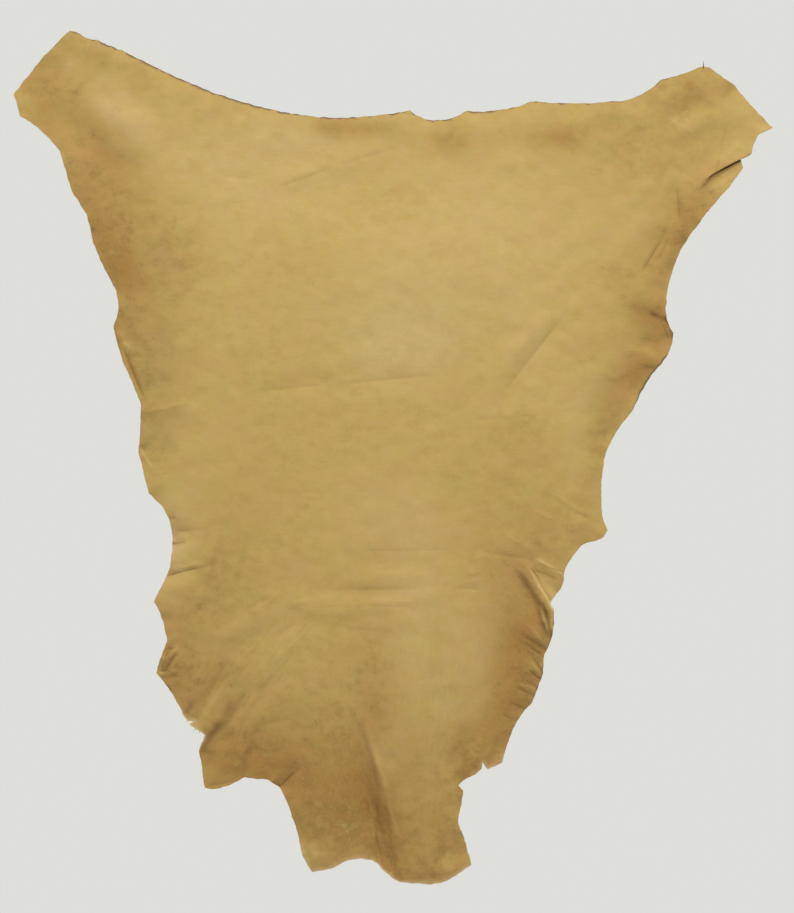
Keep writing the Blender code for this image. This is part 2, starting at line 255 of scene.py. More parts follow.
class Patch(NamedTuple):
    """One soft oval patch over the skin; its table tells what it changes.

    Attributes:
        turn: the angle of its long way over the level, in degrees, anticlockwise.
        amount: how strong it is, and which way.
    """

    name: str
    x: float
    z: float
    reach: float
    width: float
    turn: float
    amount: float

    def cover(self, places: Places) -> Numbers:
        """Gives the patch's share.

        Args:
            places: where it is read.

        Returns:
            Numbers from its amount in the middle to nothing outside.
        """
        angle = math.radians(self.turn)
        away = places - np.array((self.x, self.z))
        along = away @ np.array((math.cos(angle), math.sin(angle)))
        across = away @ np.array((-math.sin(angle), math.cos(angle)))
        return self.amount * np.exp(-(along / self.reach) ** 2 - (across / self.width) ** 2)


def covered(places: Places, table: Sequence[Patch]) -> Numbers:
    """Returns how far the patches of a table cover some places, all together."""
    return sum(patch.cover(places) for patch in table)


def patches(*rows: tuple) -> tuple[Patch, ...]:
    """Returns the patches of a table of rows: name, x, z, reach, width, turn, amount."""
    return tuple(Patch(*row) for row in rows)


# The creases of the face. Each row: name, x0, z0, x1, z1, bow, reach, rise, tint.
# A negative tint paints shade into the crease and a positive one paints a highlight onto its ridge;
# only the scars, specks and flecks are the skin's own colour.
CREASES = creases(
    ("level crease, left part", -218, -422, -92, -408, 1.5, 3, -0.7, -0.1),
    ("level crease, right part", -106, -410, 82, -392, 0, 3, -0.78, -0.11),
    ("slanting crease", 262.5, -295.5, 154.5, -433.5, 0, 2.2, -0.8, -0.17),
    ("upright crease by the pleat", 425.2, -106.5, 431.2, -163.5, 0.5, 1.3, -0.9, -0.75),
    ("long crease off the shank", 403.5, -187.5, 372, -241.5, 0, 1.3, -1.3, -0.85),
    ("its lower twin", 415.5, -184.5, 394.5, -226.5, 0, 1.3, -0.9, -0.45),
    ("its upper end", 412.5, -163.5, 394.5, -211.5, 0, 2, -0.8, -0.3),
    ("short crease by the edge", 412.5, -201, 439.5, -190.5, 0, 2.4, -0.5, -0.2),
    ("short crease over the pleat", 406, -88, 400, -124, 0, 4, -1, -0.08),
    ("faint crease over the shank", 406, 4, 436, -40, 0, 2.6, -0.6, -0.08),
    ("pale line of the shank", 412.5, -19.5, 447, 9, 0, 1.6, 0.5, 0.35),
    ("pale line across it", 400.5, 0, 469.5, -40.5, 1, 1.6, 0.5, 0.28),
    ("fine groove of the shank", 406.5, -7.5, 430.5, -31.5, 0, 1.4, -0.5, -0.3),
    ("faint upright line of the shank", 507, -7.5, 495, -45, 0, 1.8, -0.5, -0.2),
    ("pale crease over the pleat", 484.5, -79.5, 532.5, -34.5, 0, 4, 0.5, 0.12),
    ("dark crease over the pleat", 493.5, -61.5, 480, -94.5, 0, 1.5, -0.6, -0.35),
    ("tail of the pleat", 493.5, -81, 456.8, -117.8, 0.8, 1.3, -0.9, -0.9),
    ("pale crease under the pleat", 469.5, -118.5, 526.5, -85.5, 0, 2, 0.5, 0.25),
    ("ridge over the pleat", 472.5, -82.5, 520.5, -46.5, 0, 5, 0.6, 0),
    ("rolled flank, groove", -409.5, -337.5, -368.2, -439.5, -0.6, 2.2, -1.5, -0.75),
    ("rolled flank, ridge", -403.5, -373.5, -381, -424.5, 0, 2.2, 1.2, 0.22),
    ("brown rim over it", -420, -316.5, -403.5, -370.5, 0, 2.6, -0.5, -0.6),
    ("pale crescent of the flank", -378, -499.5, -360, -534, -2, 2.4, 1.3, 0.7),
    ("groove before it", -378, -493.5, -367.5, -523.5, -1, 2, -1.2, -0.4),
    ("left flank crease", -382.5, -451.5, -301.5, -433.5, 0, 3, 1, 0.1),
    ("rump crease, left", -182, -116, -87, -81, 0, 2.8, -0.7, -0.08),
    ("rump crease, right", -87, -82, -2, -56, 1.5, 3.2, -0.6, -0.08),
    ("rump wrinkle", -262, -94, -196, -100, 0, 4, -0.5, -0.04),
    ("edge pleat, first", -343.5, -610.5, -322.5, -606, 0, 2.2, -1.2, -0.6),
    ("edge pleat, second", -331.5, -628.5, -280.5, -624, 0, 2.4, -0.8, -0.12),
    ("edge pleat, third", -340.5, -648, -307.5, -642.8, 0, 1.6, -1.6, -1.1),
    ("edge pleat, fourth", -340.5, -688.5, -280.5, -673.5, 1, 2.6, 1, 0.2),
    ("edge pleat, fifth", -352.5, -699, -280.5, -679.5, 1, 1.4, -1.4, -0.8),
    ("its far end", -301.5, -687, -256.5, -670.5, 0, 3, -0.8, -0.2),
    ("hollow at the left corner", -298, -747, -272, -728, 0, 6, -1.3, -0.08),
    ("fan, outermost ridge", -310, -868, -280, -830, 0, 6, 1.2, 0.05),
    ("fan, outermost groove", -280, -884, -244, -812, 0, 4.5, -1.6, -0.06),
    ("fan, long groove", -258, -954, -172, -830, -3, 3.4, -1.1, -0.1),
    ("fan, long ridge", -208, -843, -106, -750, -3, 3.8, 1.1, 0.1),
    ("fan, groove under it", -196, -856, -136, -796, -1.5, 3.4, -0.5, -0.05),
    ("fan, inner groove", -243, -854, -194, -788, 0, 3.8, -1.4, -0.06),
    ("fan, high groove", -180, -788, -142, -762, 0, 3.8, -1.3, -0.06),
    ("fan, high ridge", -170, -798, -122, -760, 0, 3.8, 0.9, 0),
    ("fan, upper ridge", -279, -776, -222, -712, 0, 4.5, 0.9, 0),
    ("fan, upper second ridge", -236, -770, -159, -712, 0, 3.8, 0.9, 0),
    ("fan, upper groove", -230, -750, -184, -726, 0, 3.4, -0.9, -0.08),
    ("fan, top ridge", -225, -716, -188, -664, 0, 6, 0.8, 0),
    ("fan, middle groove", -218, -922, -148, -906, 0, 3.4, -0.8, -0.1),
    ("fan, tip ridge", -307.5, -940.5, -244.5, -841.5, 0, 5.5, 2.4, 0.45),
    ("fan, wedge", -295.5, -967.5, -255, -906, 0.6, 7.6, -2, -0.85),
    ("fan, wedge groove", -280.5, -948, -232.5, -871.5, -1, 4.8, -0.9, -0.42),
    ("fan, thin ridge", -271.5, -937.5, -226.5, -859.5, -1, 3.4, 0.8, 0.06),
    ("fan, thin groove", -264, -933, -214.5, -859.5, -1, 3.6, -0.7, -0.3),
    ("fan, faint ridge", -253.5, -933, -202.5, -865.5, -2, 3, 0.9, 0.05),
    ("fan, low hollow", -229.5, -1006.5, -208.5, -934.5, 1, 4.8, -1.4, -0.5),
    ("fan, low ridge", -241.5, -991.5, -220.5, -948, 1, 4.5, 1.4, 0.05),
    ("fan, dark lower edge", -285, -1011.8, -232.5, -1002, 1, 2.2, -0.5, -0.55),
    ("corner, bent ridge, upper", -319.5, -798, -349.5, -820.5, 1.5, 2.8, 1.2, 0.3),
    ("corner, bent ridge, lower", -342, -808.5, -352.5, -850.5, -1, 2.6, 1.5, 0.4),
    ("corner, inner groove", -321, -805.5, -345, -843, -1, 2.2, -1.2, -0.8),
    ("corner, inner ridge", -313.5, -807, -337.5, -841.5, -1, 2.4, 1, 0.2),
    ("corner, fine groove", -346.5, -814.5, -345, -840, 0, 1.1, -0.6, -0.9),
    ("corner, upper fleck", -342, -802.5, -327, -802.5, 0, 1.6, -0.5, -1.1),
    ("corner, lower fleck", -343.5, -816, -334.5, -808.5, 0, 1.3, -0.4, -0.9),
    ("corner, level groove", -354, -837, -330, -837, 0, 1.4, -0.8, -1),
    ("corner, level ridge", -366, -846, -318, -834, 1.2, 2.4, 1.1, 0.6),
    ("corner, groove under it", -364.5, -852, -316.5, -843, 0.5, 2.6, -0.9, -0.45),
    ("corner, dark edge", -355.5, -846, -330, -868.5, 0, 2.4, -0.6, -1.4),
    ("notch groove", -171, -1012.5, -144, -984, 0, 1.8, -1.3, -1.2),
    ("notch, rim flecks", -184.5, -1008, -163.5, -1009.5, 0, 1.6, -0.4, -1.2),
    ("notch ridge", -187.5, -1006.5, -163.5, -985.5, 0, 4, 1.6, 0.08),
    ("dark side of the tear", -315, -907.5, -300, -883.5, 0, 4.2, -0.7, -0.7),
    ("band, thin ridge", -44, -690, 60, -693, 0, 3.8, 0.54, 0.03),
    ("band, deep groove", -116, -714, 58, -712, 0, 3.8, -0.72, -0.08),
    ("band, bright ridge, left", -172, -740, -69, -722, 1.5, 3.8, 0.78, 0.03),
    ("band, bright ridge, right", -46, -730, 46, -730, 0, 3.8, 0.72, 0.03),
    ("band, thin groove", -142, -742, 44, -741, 3, 2.5, -0.5, -0.06),
    ("band, upper line", -80, -656, 116, -654, 0, 3, -0.42, -0.06),
    ("band, low line", -80, -770, 4, -778, 0, 3.4, -0.48, -0.08),
    ("neck, thin ridge", -63, -880, -48, -916, 0, 3.6, 0.8, 0.03),
    ("neck, main groove", -54, -904, -18, -1035, 1.5, 5, -2.2, -0.08),
    ("neck, main ridge", -40.5, -922.5, -1.5, -1039.5, 1.5, 5, 2.1, 0.38),
    ("neck, twin groove", -42, -1030, -21, -1108, 0, 4, -1.8, -0.12),
    ("neck, twin ridge", -38, -1028, -16, -1108, 0, 3.4, 1.2, 0.04),
    ("neck, low groove", -27, -1058, 0, -1138, 0, 4.5, -1.5, -0.12),
    ("neck, right streak", -13.5, -1021.5, 1.5, -1123.5, 0, 3, -0.9, -0.34),
    ("neck, left streak", -24, -1006.5, -24.8, -1132.5, 0, 2, -0.7, -0.25),
    ("neck, low streak", -25.5, -1096.5, 16.5, -1156.5, 0, 4, -0.8, -0.32),
    ("neck, edge streak", -27, -1081.5, -13.5, -1135.5, 0, 2, -0.7, -0.5),
    ("neck, broad streak", -10.5, -1087.5, 10.5, -1138.5, 0, 4.5, -0.6, -0.3),
    ("neck, pale streak", -34.5, -1030.5, -28.5, -1102.5, 0, 2, 0.6, 0.3),
    ("neck, second pale streak", -10.5, -1018.5, 12, -1102.5, 0, 2.4, 0.6, 0.25),
    ("neck, soft shadow", -43.5, -952.5, -4.5, -1132.5, 0, 13, -0.6, -0.1),
    ("scar of the neck's right lobe", 69, -1116, 90, -1140, 0, 7, 0.2, 0.5),
    ("scar of the neck's left lobe", -127.5, -1108.5, -97.5, -1113, 0, 5, 0.2, 0.45),
    ("pale speck over the left lobe", -120, -1032, -103.5, -1041, 0, 3, 0.2, 0.32),
    ("pale dimple of the left flank", -405, -343.5, -393, -352.5, 0, 2.2, 0.6, 0.6),
    ("second dimple beside it", -408, -333, -400.5, -348, 0, 1.8, 0.4, 0.45),
    ("neck, right ridge, upper", 87, -806, 82, -938, 0, 6, 0.9, 0.03),
    ("neck, right ridge", 86, -974, 99, -1066, -1.5, 5, 2.2, 0.05),
    ("neck, right groove", 90, -952, 88, -982, 0, 4.5, -1.6, -0.1),
    ("faint upright line", 68, -718, 64, -814, 0, 4.5, -0.8, -0.06),
    ("notch fold, broad groove", 181.5, -679.5, 238.5, -766.5, 1, 5, -2.6, -1.1),
    ("notch fold, main ridge", 196.5, -672, 249, -762, 1, 2, 2, 1.1),
    ("notch fold, thin groove", 210, -691.5, 234, -726, 0, 1.4, -0.8, -0.6),
    ("notch fold, short groove", 205.5, -682.5, 222, -702, 0, 1.2, -0.8, -0.8),
    ("notch fold, panel", 208.5, -688.5, 253.5, -733.5, 0, 8, 0.6, 0.8),
    ("notch fold, high ridge", 207, -664.5, 268.5, -700.5, 1.5, 2.3, 1.1, 1.3),
    ("notch fold, high groove", 199.5, -682.5, 253.5, -702, 2, 1.6, -0.6, -0.8),
    ("notch fold, groove over it", 232.5, -679.5, 268.5, -694.5, 0, 1.2, -0.8, -0.9),
    ("ruffle shadow", 214.5, -736.5, 232.5, -790.5, -1, 4, -1.31, -0.72),
    ("ruffle ridge, first", 217.5, -730.5, 234, -786, 0, 1.7, 1.07, 0.96),
    ("ruffle groove between", 223.5, -727.5, 238.5, -787.5, 0, 1.3, -0.98, -0.96),
    ("ruffle ridge, second", 237, -730.5, 237.8, -781.5, 0, 1.3, 0.74, 0.96),
    ("ruffle hollow", 222, -760.5, 238.5, -790.5, 0, 3.4, -0.98, -0.8),
    ("ruffle rim", 237, -769.5, 238.5, -802.5, 0, 2, -0.49, -0.88),
    ("ruffle ridge, third", 199.5, -763.5, 232.5, -799.5, -1, 2.8, 0.98, 0.2),
    ("ruffle groove, first", 187.5, -778.5, 247.5, -817.5, 1, 3.4, -1.8, -0.8),
    ("ruffle groove, second", 193.5, -790.5, 238.5, -826.5, 0, 2, -0.98, -0.48),
    ("ruffle ridge, fourth", 202.5, -805.5, 228, -822, 1, 2.6, 0.74, 0.04),
    ("ruffle groove, third", 208.3, -813.3, 233.1, -853.8, 0.5, 1.4, -1.48, -1.25),
    ("ruffle ridge, fifth", 204, -820.5, 223.5, -846, 0.5, 1.8, 0.82, 0.12),
    ("ruffle groove, fourth", 197.2, -830.7, 231, -857.7, 0.5, 1.4, -1.15, -0.87),
    ("ruffle groove, fifth", 195.9, -849.3, 227.4, -867.3, 0.5, 1.8, -0.98, -0.73),
    ("ruffle groove, sixth", 178.3, -857.9, 225.6, -882.6, 1, 1.9, -1.23, -0.75),
    ("ruffle ridge, sixth", 184.5, -855, 216, -868.5, 1, 2.4, 0.82, 0.12),
    ("ruffle groove, seventh", 172.8, -883.8, 213.3, -901.8, 0.5, 2.4, -0.82, -0.44),
    ("ruffle groove, eighth", 162.6, -900, 198.6, -922.5, 0.5, 2.4, -0.74, -0.4),
    ("ruffle ridge, seventh", 172.5, -897, 192, -909, 0.5, 2.4, 0.66, 0.08),
    ("ruffle groove, ninth", 156, -925.5, 178.5, -942, 0.5, 2.4, -0.66, -0.13),
    ("line over the notch", 156, -627, 212, -656, 0, 3.6, 1, 0.03),
    ("line over the notch, dark", 116, -654, 220, -672, 0, 3.4, -0.9, -0.1),
    ("wrinkle of the right flank", 202, -592, 242, -612, 0, 3.2, 1, 0.03),
    ("second wrinkle there", 231, -566, 282, -602, 1.5, 3.4, 0.9, 0.03),
    ("third wrinkle there", 268, -598, 298, -610, 0, 4, -1.4, -0.08),
    ("crinkle, first", 102, -706, 130, -698, 0, 3, 0.8, 0),
    ("crinkle, second", 110, -692, 135, -686, 0, 3, 0.8, 0),
    ("crinkle, third", 88, -711, 134, -714, 0, 2.6, -0.8, -0.1),
    ("crinkle, fourth", 116, -670, 136, -664, 0, 3, 0.7, 0),
    ("hollow of the flank's tip", 379.5, -298.5, 421.5, -315, 0, 4.2, -1.7, -1.15),
    ("its tail", 352.5, -283.5, 403.5, -307.5, 0, 6, -0.8, -0.25),
    ("rim over the flank's tip", 405, -298.5, 424.5, -343.5, 0, 1.9, -0.6, -1.2),
    ("groove beside the rim", 400.5, -310.5, 415.5, -340.5, 0, 1.3, -1, -0.8),
    ("ridge of the flank's tip", 338, -358, 394, -358, 0, 6, 1.6, 0.04),
    ("groove under the flank's tip", 367.5, -378, 412.5, -388.5, 0, 3.6, -1.3, -0.45),
    ("wrinkle under it", 316, -400, 362, -388, 0, 5, 1.2, 0.03),
    ("right edge wrinkle", 308, -472, 296, -536, 0, 5, -1, -0.06),
    ("level line of the right flank", 104, -462, 232, -453, 0, 3.2, -0.6, -0.08),
    ("pale speck of the neck", 74, -899, 77, -896, 0, 1.8, 0.2, 0.7),
    ("dark fleck of the left edge", -452, -170, -448, -180, 0, 2.4, -0.5, -0.9),
    ("dark fleck below it", -437, -204, -432, -212, 0, 2, -0.4, -0.7),
)

# Tables of patches. Each row: name, x, z, reach, width, turn, amount.
# Where the face is paler (positive) or darker (negative): the dye's clouds, paler in the upper
# middle and darker towards the bottom, and beside some folds painted light and shade.
TONES = patches(
    ("pale upper middle", 10, -168, 345, 142, 0, 0.42),
    ("pale upper left", -267, -70, 105, 60, -15, 0.22),
    ("pale band of the right", 268, -446, 45, 135, 90, 0.26),
    ("pale middle, low", 3, -610, 105, 68, 0, 0.3),
    ("pale stripe beside the neck", 40, -790, 142, 51, 90, 0.3),
    ("pale bands of the waist", 3, -716, 90, 39, 0, 0.18),
    ("pale left hollow", -297, -490, 90, 51, 90, 0.14),
    ("pale lobe of the neck", -110, -1118, 51, 24, 8, 0.22),
    ("pale lobe, right", 56, -1030, 75, 45, 90, 0.16),
    ("pale fan", -207, -790, 105, 51, 40, 0.16),
    ("pale right shank", 483, -8, 69, 39, -20, 0.15),
    ("ochre, left flank", -434, -183, 128, 51, -62, -0.55),
    ("ochre below it", -392, -326, 105, 45, -70, -0.45),
    ("ochre at the waist, left", -358, -460, 69, 30, 90, -0.42),
    ("ochre, left shank", -412, -82, 60, 42, -50, -0.36),
    ("ochre by the left grip", -532, 44, 51, 30, -45, -0.22),
    ("ochre along the rump, left", -422, 70, 78, 18, -30, -0.34),
    ("ochre along the rump, middle", -72, -22, 66, 16, -3, -0.42),
    ("ochre along the rump, right", 86, -40, 39, 24, 0, -0.34),
    ("ochre spot of the rump", 248, -38, 39, 21, 0, -0.26),
    ("ochre under the right shank", 370, -10, 90, 30, 10, -0.15),
    ("ochre, right edge", 442, -164, 69, 36, 60, -0.5),
    ("ochre fold of the right edge", 400, -224, 54, 24, 75, -0.28),
    ("dark flank's tip", 392, -304, 39, 26, -40, -0.32),
    ("dark under the flank's tip", 368, -382, 51, 22, 35, -0.45),
    ("ochre, right flank", 338, -434, 69, 30, 55, -0.42),
    ("ochre, right waist", 302, -508, 75, 20, 80, -0.3),
    ("ochre over the notch", 220, -658, 66, 33, 20, -0.34),
    ("dark by the notch", 196, -730, 60, 30, -60, -0.35),
    ("dark ruffled edge", 210, -802, 75, 42, 80, -0.6),
    ("dark ruffled edge, low", 168, -888, 63, 39, 55, -0.6),
    ("ochre, right foreleg", 128, -944, 51, 33, 0, -0.62),
    ("ochre, left waist", -282, -674, 60, 30, 10, -0.1),
    ("ochre, left corner", -310, -748, 51, 36, 60, -0.4),
    ("dark left corner", -340, -824, 45, 30, -50, -0.4),
    ("ochre, left foreleg", -268, -944, 51, 36, 50, -0.55),
    ("ochre over the left notch", -196, -974, 60, 30, 0, -0.62),
    ("ochre down the middle", -33, -824, 36, 24, 90, -0.26),
    ("ochre down the middle, low", -24, -892, 39, 30, 90, -0.18),
    ("dark neck, left", -87, -993, 78, 66, 0, -0.32),
    # Painted shade in the neck fold, here and in the next row.
    ("dark neck fold", -32, -1016, 90, 24, -75, -0.15),
    ("dark neck fold, low", -10, -1106, 51, 24, -60, -0.5),
    ("ochre, neck", -72, -933, 90, 39, 0, -0.1),
    ("ochre, neck's right", 78, -1083, 51, 24, 90, -0.3),
    ("smudge of the middle", 86, -554, 39, 15, 80, -0.18),
    ("smudge beside it", 58, -508, 21, 10, 10, -0.12),
    ("dark spot of the waist", -50, -710, 27, 10, 0, -0.25),
    ("dark spots of the right", 106, -926, 21, 15, 90, -0.35),
    ("dark spot over them", 99, -864, 12, 9, 0, -0.3),
    ("dark spot of the waist's right", 63, -806, 15, 9, 70, -0.28),
    ("bright spot of the middle", 51, -492, 21, 9, 10, 0.14),
    ("bright spot of the right", 148, -447, 18, 8, 0, 0.22),
    # Darker towards the bottom.
    ("dull lower skin", 0, -1160, 420, 190, 0, -0.42),
    ("dull lower left", -220, -880, 150, 150, 0, -0.12),
    ("pale edge of the left waist", -322.5, -670.5, 78, 34, 88, 0.6),
    ("pale spot under the flank's tip", 388.5, -361.5, 8, 5.5, -30, 0.6),
    ("bright tip by the notch", -175.5, -999, 9, 4.5, 25, 0.6),
    ("bright by the tear", -291, -922.5, 9, 7, 50, 0.5),
    ("dull upper left", -322.5, -198, 62, 45, 80, -0.38),
    ("dull right of the neck", 127.5, -997.5, 40, 30, 0, -0.3),
    # Painted light on the lit side of the neck fold.
    ("bright right of the neck fold", -1.5, -982.5, 48, 24, -80, 0.45),
    ("bright right foreleg", 121.5, -916.5, 50, 36, 60, 0.55),
    ("bright left foreleg", -252, -913.5, 42, 30, 50, 0.35),
    ("bright fan", -181.5, -838.5, 50, 36, 40, 0.3),
    ("bright right flank", 388.5, -202.5, 60, 40, 70, 0.2),
    ("bright left shank", -402, -13.5, 62, 36, -50, 0.4),
    ("pale middle", 10.5, -358.5, 75, 50, 0, 0.42),
    ("pale over the notch", 130.5, -802.5, 62, 38, 90, 0.52),
    ("dull right shank", 468, -13.5, 84, 60, 60, -0.24),
    ("dull right edge", 343.5, -238.5, 42, 30, 0, -0.3),
    ("dull foreleg's end", 124.5, -997.5, 30, 24, 0, -0.55),
    ("dull neck's end", -67.5, -1072.5, 60, 26, 0, -0.34),
    ("dull right lobe", 48, -1138.5, 48, 14, 0, -0.45),
    ("pale left flank", -390, -265.5, 66, 36, -65, 0.24),
    ("pale high left flank", -403.5, -88.5, 42, 27, -62, 0.34),
    ("pale centre", 33, -318, 90, 50, 0, 0.28),
    ("pale by the slanting crease", 198, -333, 45, 60, 0, 0.22),
    ("pale beside the bands", 202.5, -733.5, 45, 60, 0, 0.34),
    ("pale beside the neck fold", -31.5, -952.5, 60, 33, 90, 0.36),
    ("pale over the right notch", 127.5, -913.5, 40, 40, 0, 0.3),
    ("dull right of the rump crease", 3, -130.5, 80, 50, 0, -0.3),
    ("dull right middle", 198, -475.5, 50, 40, 0, -0.3),
    ("dull inside the waist", -252, -700.5, 45, 42, 0, -0.28),
    ("dull fan", -247.5, -843, 50, 40, 0, -0.28),
    ("dull left lobe", -72, -1063.5, 60, 36, 0, -0.3),
    ("dull right notch", 127.5, -993, 30, 36, 0, -0.28),
    ("dull inside the left shank", -397.5, -172.5, 30, 36, 0, -0.24),
    ("dull below the right edge", 348, -280.5, 60, 36, 90, -0.08),
    ("pale under the rump", -139.5, -27, 78, 30, 0, 0.36),
    ("dull upper middle", -132, -208.5, 88, 60, 0, -0.3),
    ("dull under the left shank", -322.5, -238.5, 54, 48, 0, -0.28),
    ("dull by the right shank", 352.5, -55.5, 54, 52, 0, -0.28),
    ("nap, pale", -487.5, 76.5, 26, 9, 55, 0.32),
    ("nap, dull", -472.5, 37.5, 30, 9, 50, -0.3),
    ("nap, pale, low", -421.5, 1.5, 30, 14, -35, 0.3),
    ("nap, dull, low", -445.5, -22.5, 32, 14, -45, -0.28),
    ("nap, dull, high", -511.5, 52.5, 22, 12, 60, -0.24),
    ("pale right waist", 277.5, -513, 42, 30, 90, 0.3),
    ("dull right grip", 445.5, 43.5, 62, 36, 10, -0.24),
    ("dull left corner", -294, -844.5, 50, 32, 0, -0.28),
    ("pale left shank's end", -433.5, 58.5, 52, 40, -40, 0.24),
    ("neck fleck, dark, first", -78, -1065, 7, 5, 30, -0.55),
    ("neck fleck, dark, second", -61.5, -1084.5, 6, 4, -30, -0.45),
    ("neck fleck, dark, third", -33, -1101, 9, 5, -60, -0.6),
    ("neck fleck, dark, fourth", -46.5, -1056, 8, 4, -50, -0.45),
    ("neck fleck, dark, fifth", -72, -1018.5, 9, 5, 20, -0.35),
    ("neck fleck, dark, sixth", -103.5, -1039.5, 8, 6, 0, -0.3),
    ("neck fleck, pale, first", -121.5, -1099.5, 9, 6, 40, 0.5),
    ("neck fleck, pale, second", -93, -1089, 9, 5, 10, 0.38),
    ("neck fleck, pale, third", -67.5, -1096.5, 7, 4, 0, 0.32),
    ("neck fleck, pale, fourth", -106.5, -1069.5, 11, 6, -20, 0.3),
    ("neck fleck, pale, fifth", -55.5, -1035, 8, 4, -60, 0.3),
    ("foreleg fleck, dark", -217.5, -966, 16, 7, 75, -0.4),
    ("foreleg fleck, pale", -256.5, -961.5, 24, 8, 55, 0.32),
    ("foreleg fleck, pale, high", -265.5, -904.5, 20, 7, 60, 0.35),
)

# Where it turns to rust, and how far.
RUSTS = patches(
    ("left flank", -440, -183, 112, 36, -62, 0.34),
    ("under the flank", -398, -236, 45, 27, -60, 0.3),
    ("left shank", -422, -78, 60, 36, -40, 0.38),
    ("rump", -72, -22, 66, 16, -3, 0.38),
    ("rump, right", 86, -44, 36, 20, 0, 0.34),
    ("spot of the rump", 248, -38, 39, 20, 0, 0.4),
    ("right edge", 440, -170, 66, 33, 60, 0.38),
    ("flank's tip", 388, -310, 42, 30, -40, 0.42),
    ("under the tip", 370, -380, 51, 24, 35, 0.4),
    ("right flank", 333, -438, 66, 24, 55, 0.25),
    ("ruffles", 190, -790, 80, 40, 80, 0.35),
    ("right foreleg", 160, -910, 60, 39, 50, 0.4),
    ("neck", -90, -1010, 120, 72, 0, 0.38),
    ("over the left notch", -190, -985, 75, 45, 10, 0.22),
    ("warm lower skin", 0, -1120, 300, 170, 0, 0.3),
    ("warm lower left", -250, -890, 130, 130, 0, 0.2),
    ("warm left waist", -330, -790, 60, 90, 0, 0.2),
    ("warm left flank", -400, -250, 230, 60, -72, 0.2),
    ("warm left shank", -520, 40, 120, 70, -45, 0.25),
    ("warm right flank", 400, -250, 180, 60, 75, 0.22),
    ("neck fold", -22, -1053, 99, 27, -70, 0.27),
    ("down the middle", -26, -892, 42, 30, 90, 0.15),
    ("left foreleg", -252, -958, 69, 33, 20, 0.3),
    ("left corner", -340, -826, 45, 30, -50, 0.15),
    ("warm waist", -10, -690, 330, 120, 0, 0.1),
    ("warm left edge", -250, -620, 110, 90, 0, 0.08),
    ("warm middle right", 200, -620, 120, 130, 0, 0.1),
    ("warm rump, right", 300, -60, 150, 90, 0, 0.08),
    ("warm ruffles", 185, -800, 110, 75, 85, 0.3),
    ("warm right foreleg", 120, -960, 60, 60, 0, 0.15),
    ("speck of the shank", 404, 42, 10, 6, 20, 0.3),
    ("second rust speck", 446, 45, 9, 8, 0, 0.6),
    ("speck at the grip", -530, 12, 12, 9, -40, 0.2),
    ("patch of the shank", 450, 22, 39, 15, 20, 0.3),
    ("spot of the left waist", -268.5, -675, 9, 7, 0, 0.28),
    ("beside the neck fold", -30, -904.5, 60, 26, 90, 0.14),
    ("inside the left flank", -370.5, -151.5, 54, 36, -62, 0.16),
    ("at the left grip", -517.5, 0, 30, 18, -45, 0.2),
    ("left grip's end", -538.5, 64.5, 30, 18, 50, 0.14),
    ("inside the right edge", 397.5, -280.5, 66, 30, 70, 0.06),
    ("warm right middle", 190.5, -580.5, 110, 60, 0, 0.07),
    ("warm left corner", -289.5, -898.5, 45, 27, 0, 0.16),
    ("warm lower fan", -132, -898.5, 66, 27, 0, 0.12),
    ("warm lower middle", -25.5, -813, 160, 52, 90, 0.12),
    ("warm over the notch", 198, -700.5, 60, 36, 90, 0.08),
    ("rolled flank", -390, -388.5, 42, 6, -67, 0.45),
    ("spot of the fan", -246, -891, 10, 7, 60, 0.35),
)

# Where it turns to olive, and how far.
OLIVES = patches(
    ("left flank", -350, -348, 93, 42, -75, 0.45),
    ("left waist", -342, -468, 72, 36, 90, 0.35),
    ("upper left", -364, -206, 90, 39, -65, 0.35),
    ("fan", -222, -760, 128, 75, 35, 0.25),
    ("lower left", -225, -960, 60, 30, 20, 0.35),
    ("right flank", 310, -423, 120, 27, 65, 0.5),
    ("beside the neck", 104, -903, 84, 36, 85, 0.35),
    ("upper middle", 20, -300, 200, 110, 0, 0.38),
    ("right shank", 446, -18, 90, 39, -15, 0.3),
    ("waist", 62, -800, 110, 33, 90, 0.35),
    ("flank's tip", 346.5, -427.5, 48, 36, -40, 0.28),
    ("corner", -253.5, -952.5, 45, 33, 0, 0.28),
    ("over the notch", 163.5, -888, 66, 36, 80, 0.22),
    ("middle band", -10.5, -625.5, 45, 45, 0, 0.28),
)


class Lay(Enum):
    """The ways that the fibres are drawn out at the folds, in degrees over the level."""

    FAN = 50.0
    NECK = -72.0
    RUFFLES = -48.0
    UPRIGHT = 88.0


# Where the fibres are drawn out, and how strongly.
LAYS = {
    Lay.FAN: patches(("fan", -190, -830, 190, 90, 48, 0.8),
                     ("left foreleg", -240, -930, 90, 60, 45, 1)),
    Lay.NECK: patches(("neck fold", -25, -1030, 150, 55, -72, 1.4),
                      ("neck", -70, -1040, 120, 60, -72, 0.8)),
    Lay.RUFFLES: patches(("ruffles", 205, -820, 120, 55, -80, 1.4),
                         ("notch folds", 215, -700, 60, 40, -60, 0.8),
                         ("right foreleg", 150, -920, 60, 50, 60, 0.8)),
    Lay.UPRIGHT: patches(("right of the neck", 90, -940, 170, 50, 90, 1),
                         ("lower middle", 30, -820, 150, 90, 90, 0.5)),
}

# Where the folds lie flatter than the solid's, from nothing to all of their height.
CALMS = patches(
    ("notch", 232, -690, 45, 30, 0, 1),
    ("bands", 0, -710, 170, 60, 0, 0.62),
    ("lower left", -241.5, -856.5, 100, 60, 45, 0.45),
    ("left shank", -439.5, -22.5, 75, 30, -42, 0.55),
    ("left waist", -361.5, -490.5, 30, 22, 0, 0.6),
    ("fan", -177, -823.5, 45, 20, 50, 0.75),
    ("low fan", -241.5, -970.5, 30, 20, 0, 0.5),
    ("right shank", 435, 22.5, 55, 25, 15, 0.6),
    ("neck", -61.5, -904.5, 25, 16, -60, 0.7),
    ("right flank", 303, -355.5, 25, 40, 0, 0.5),
)
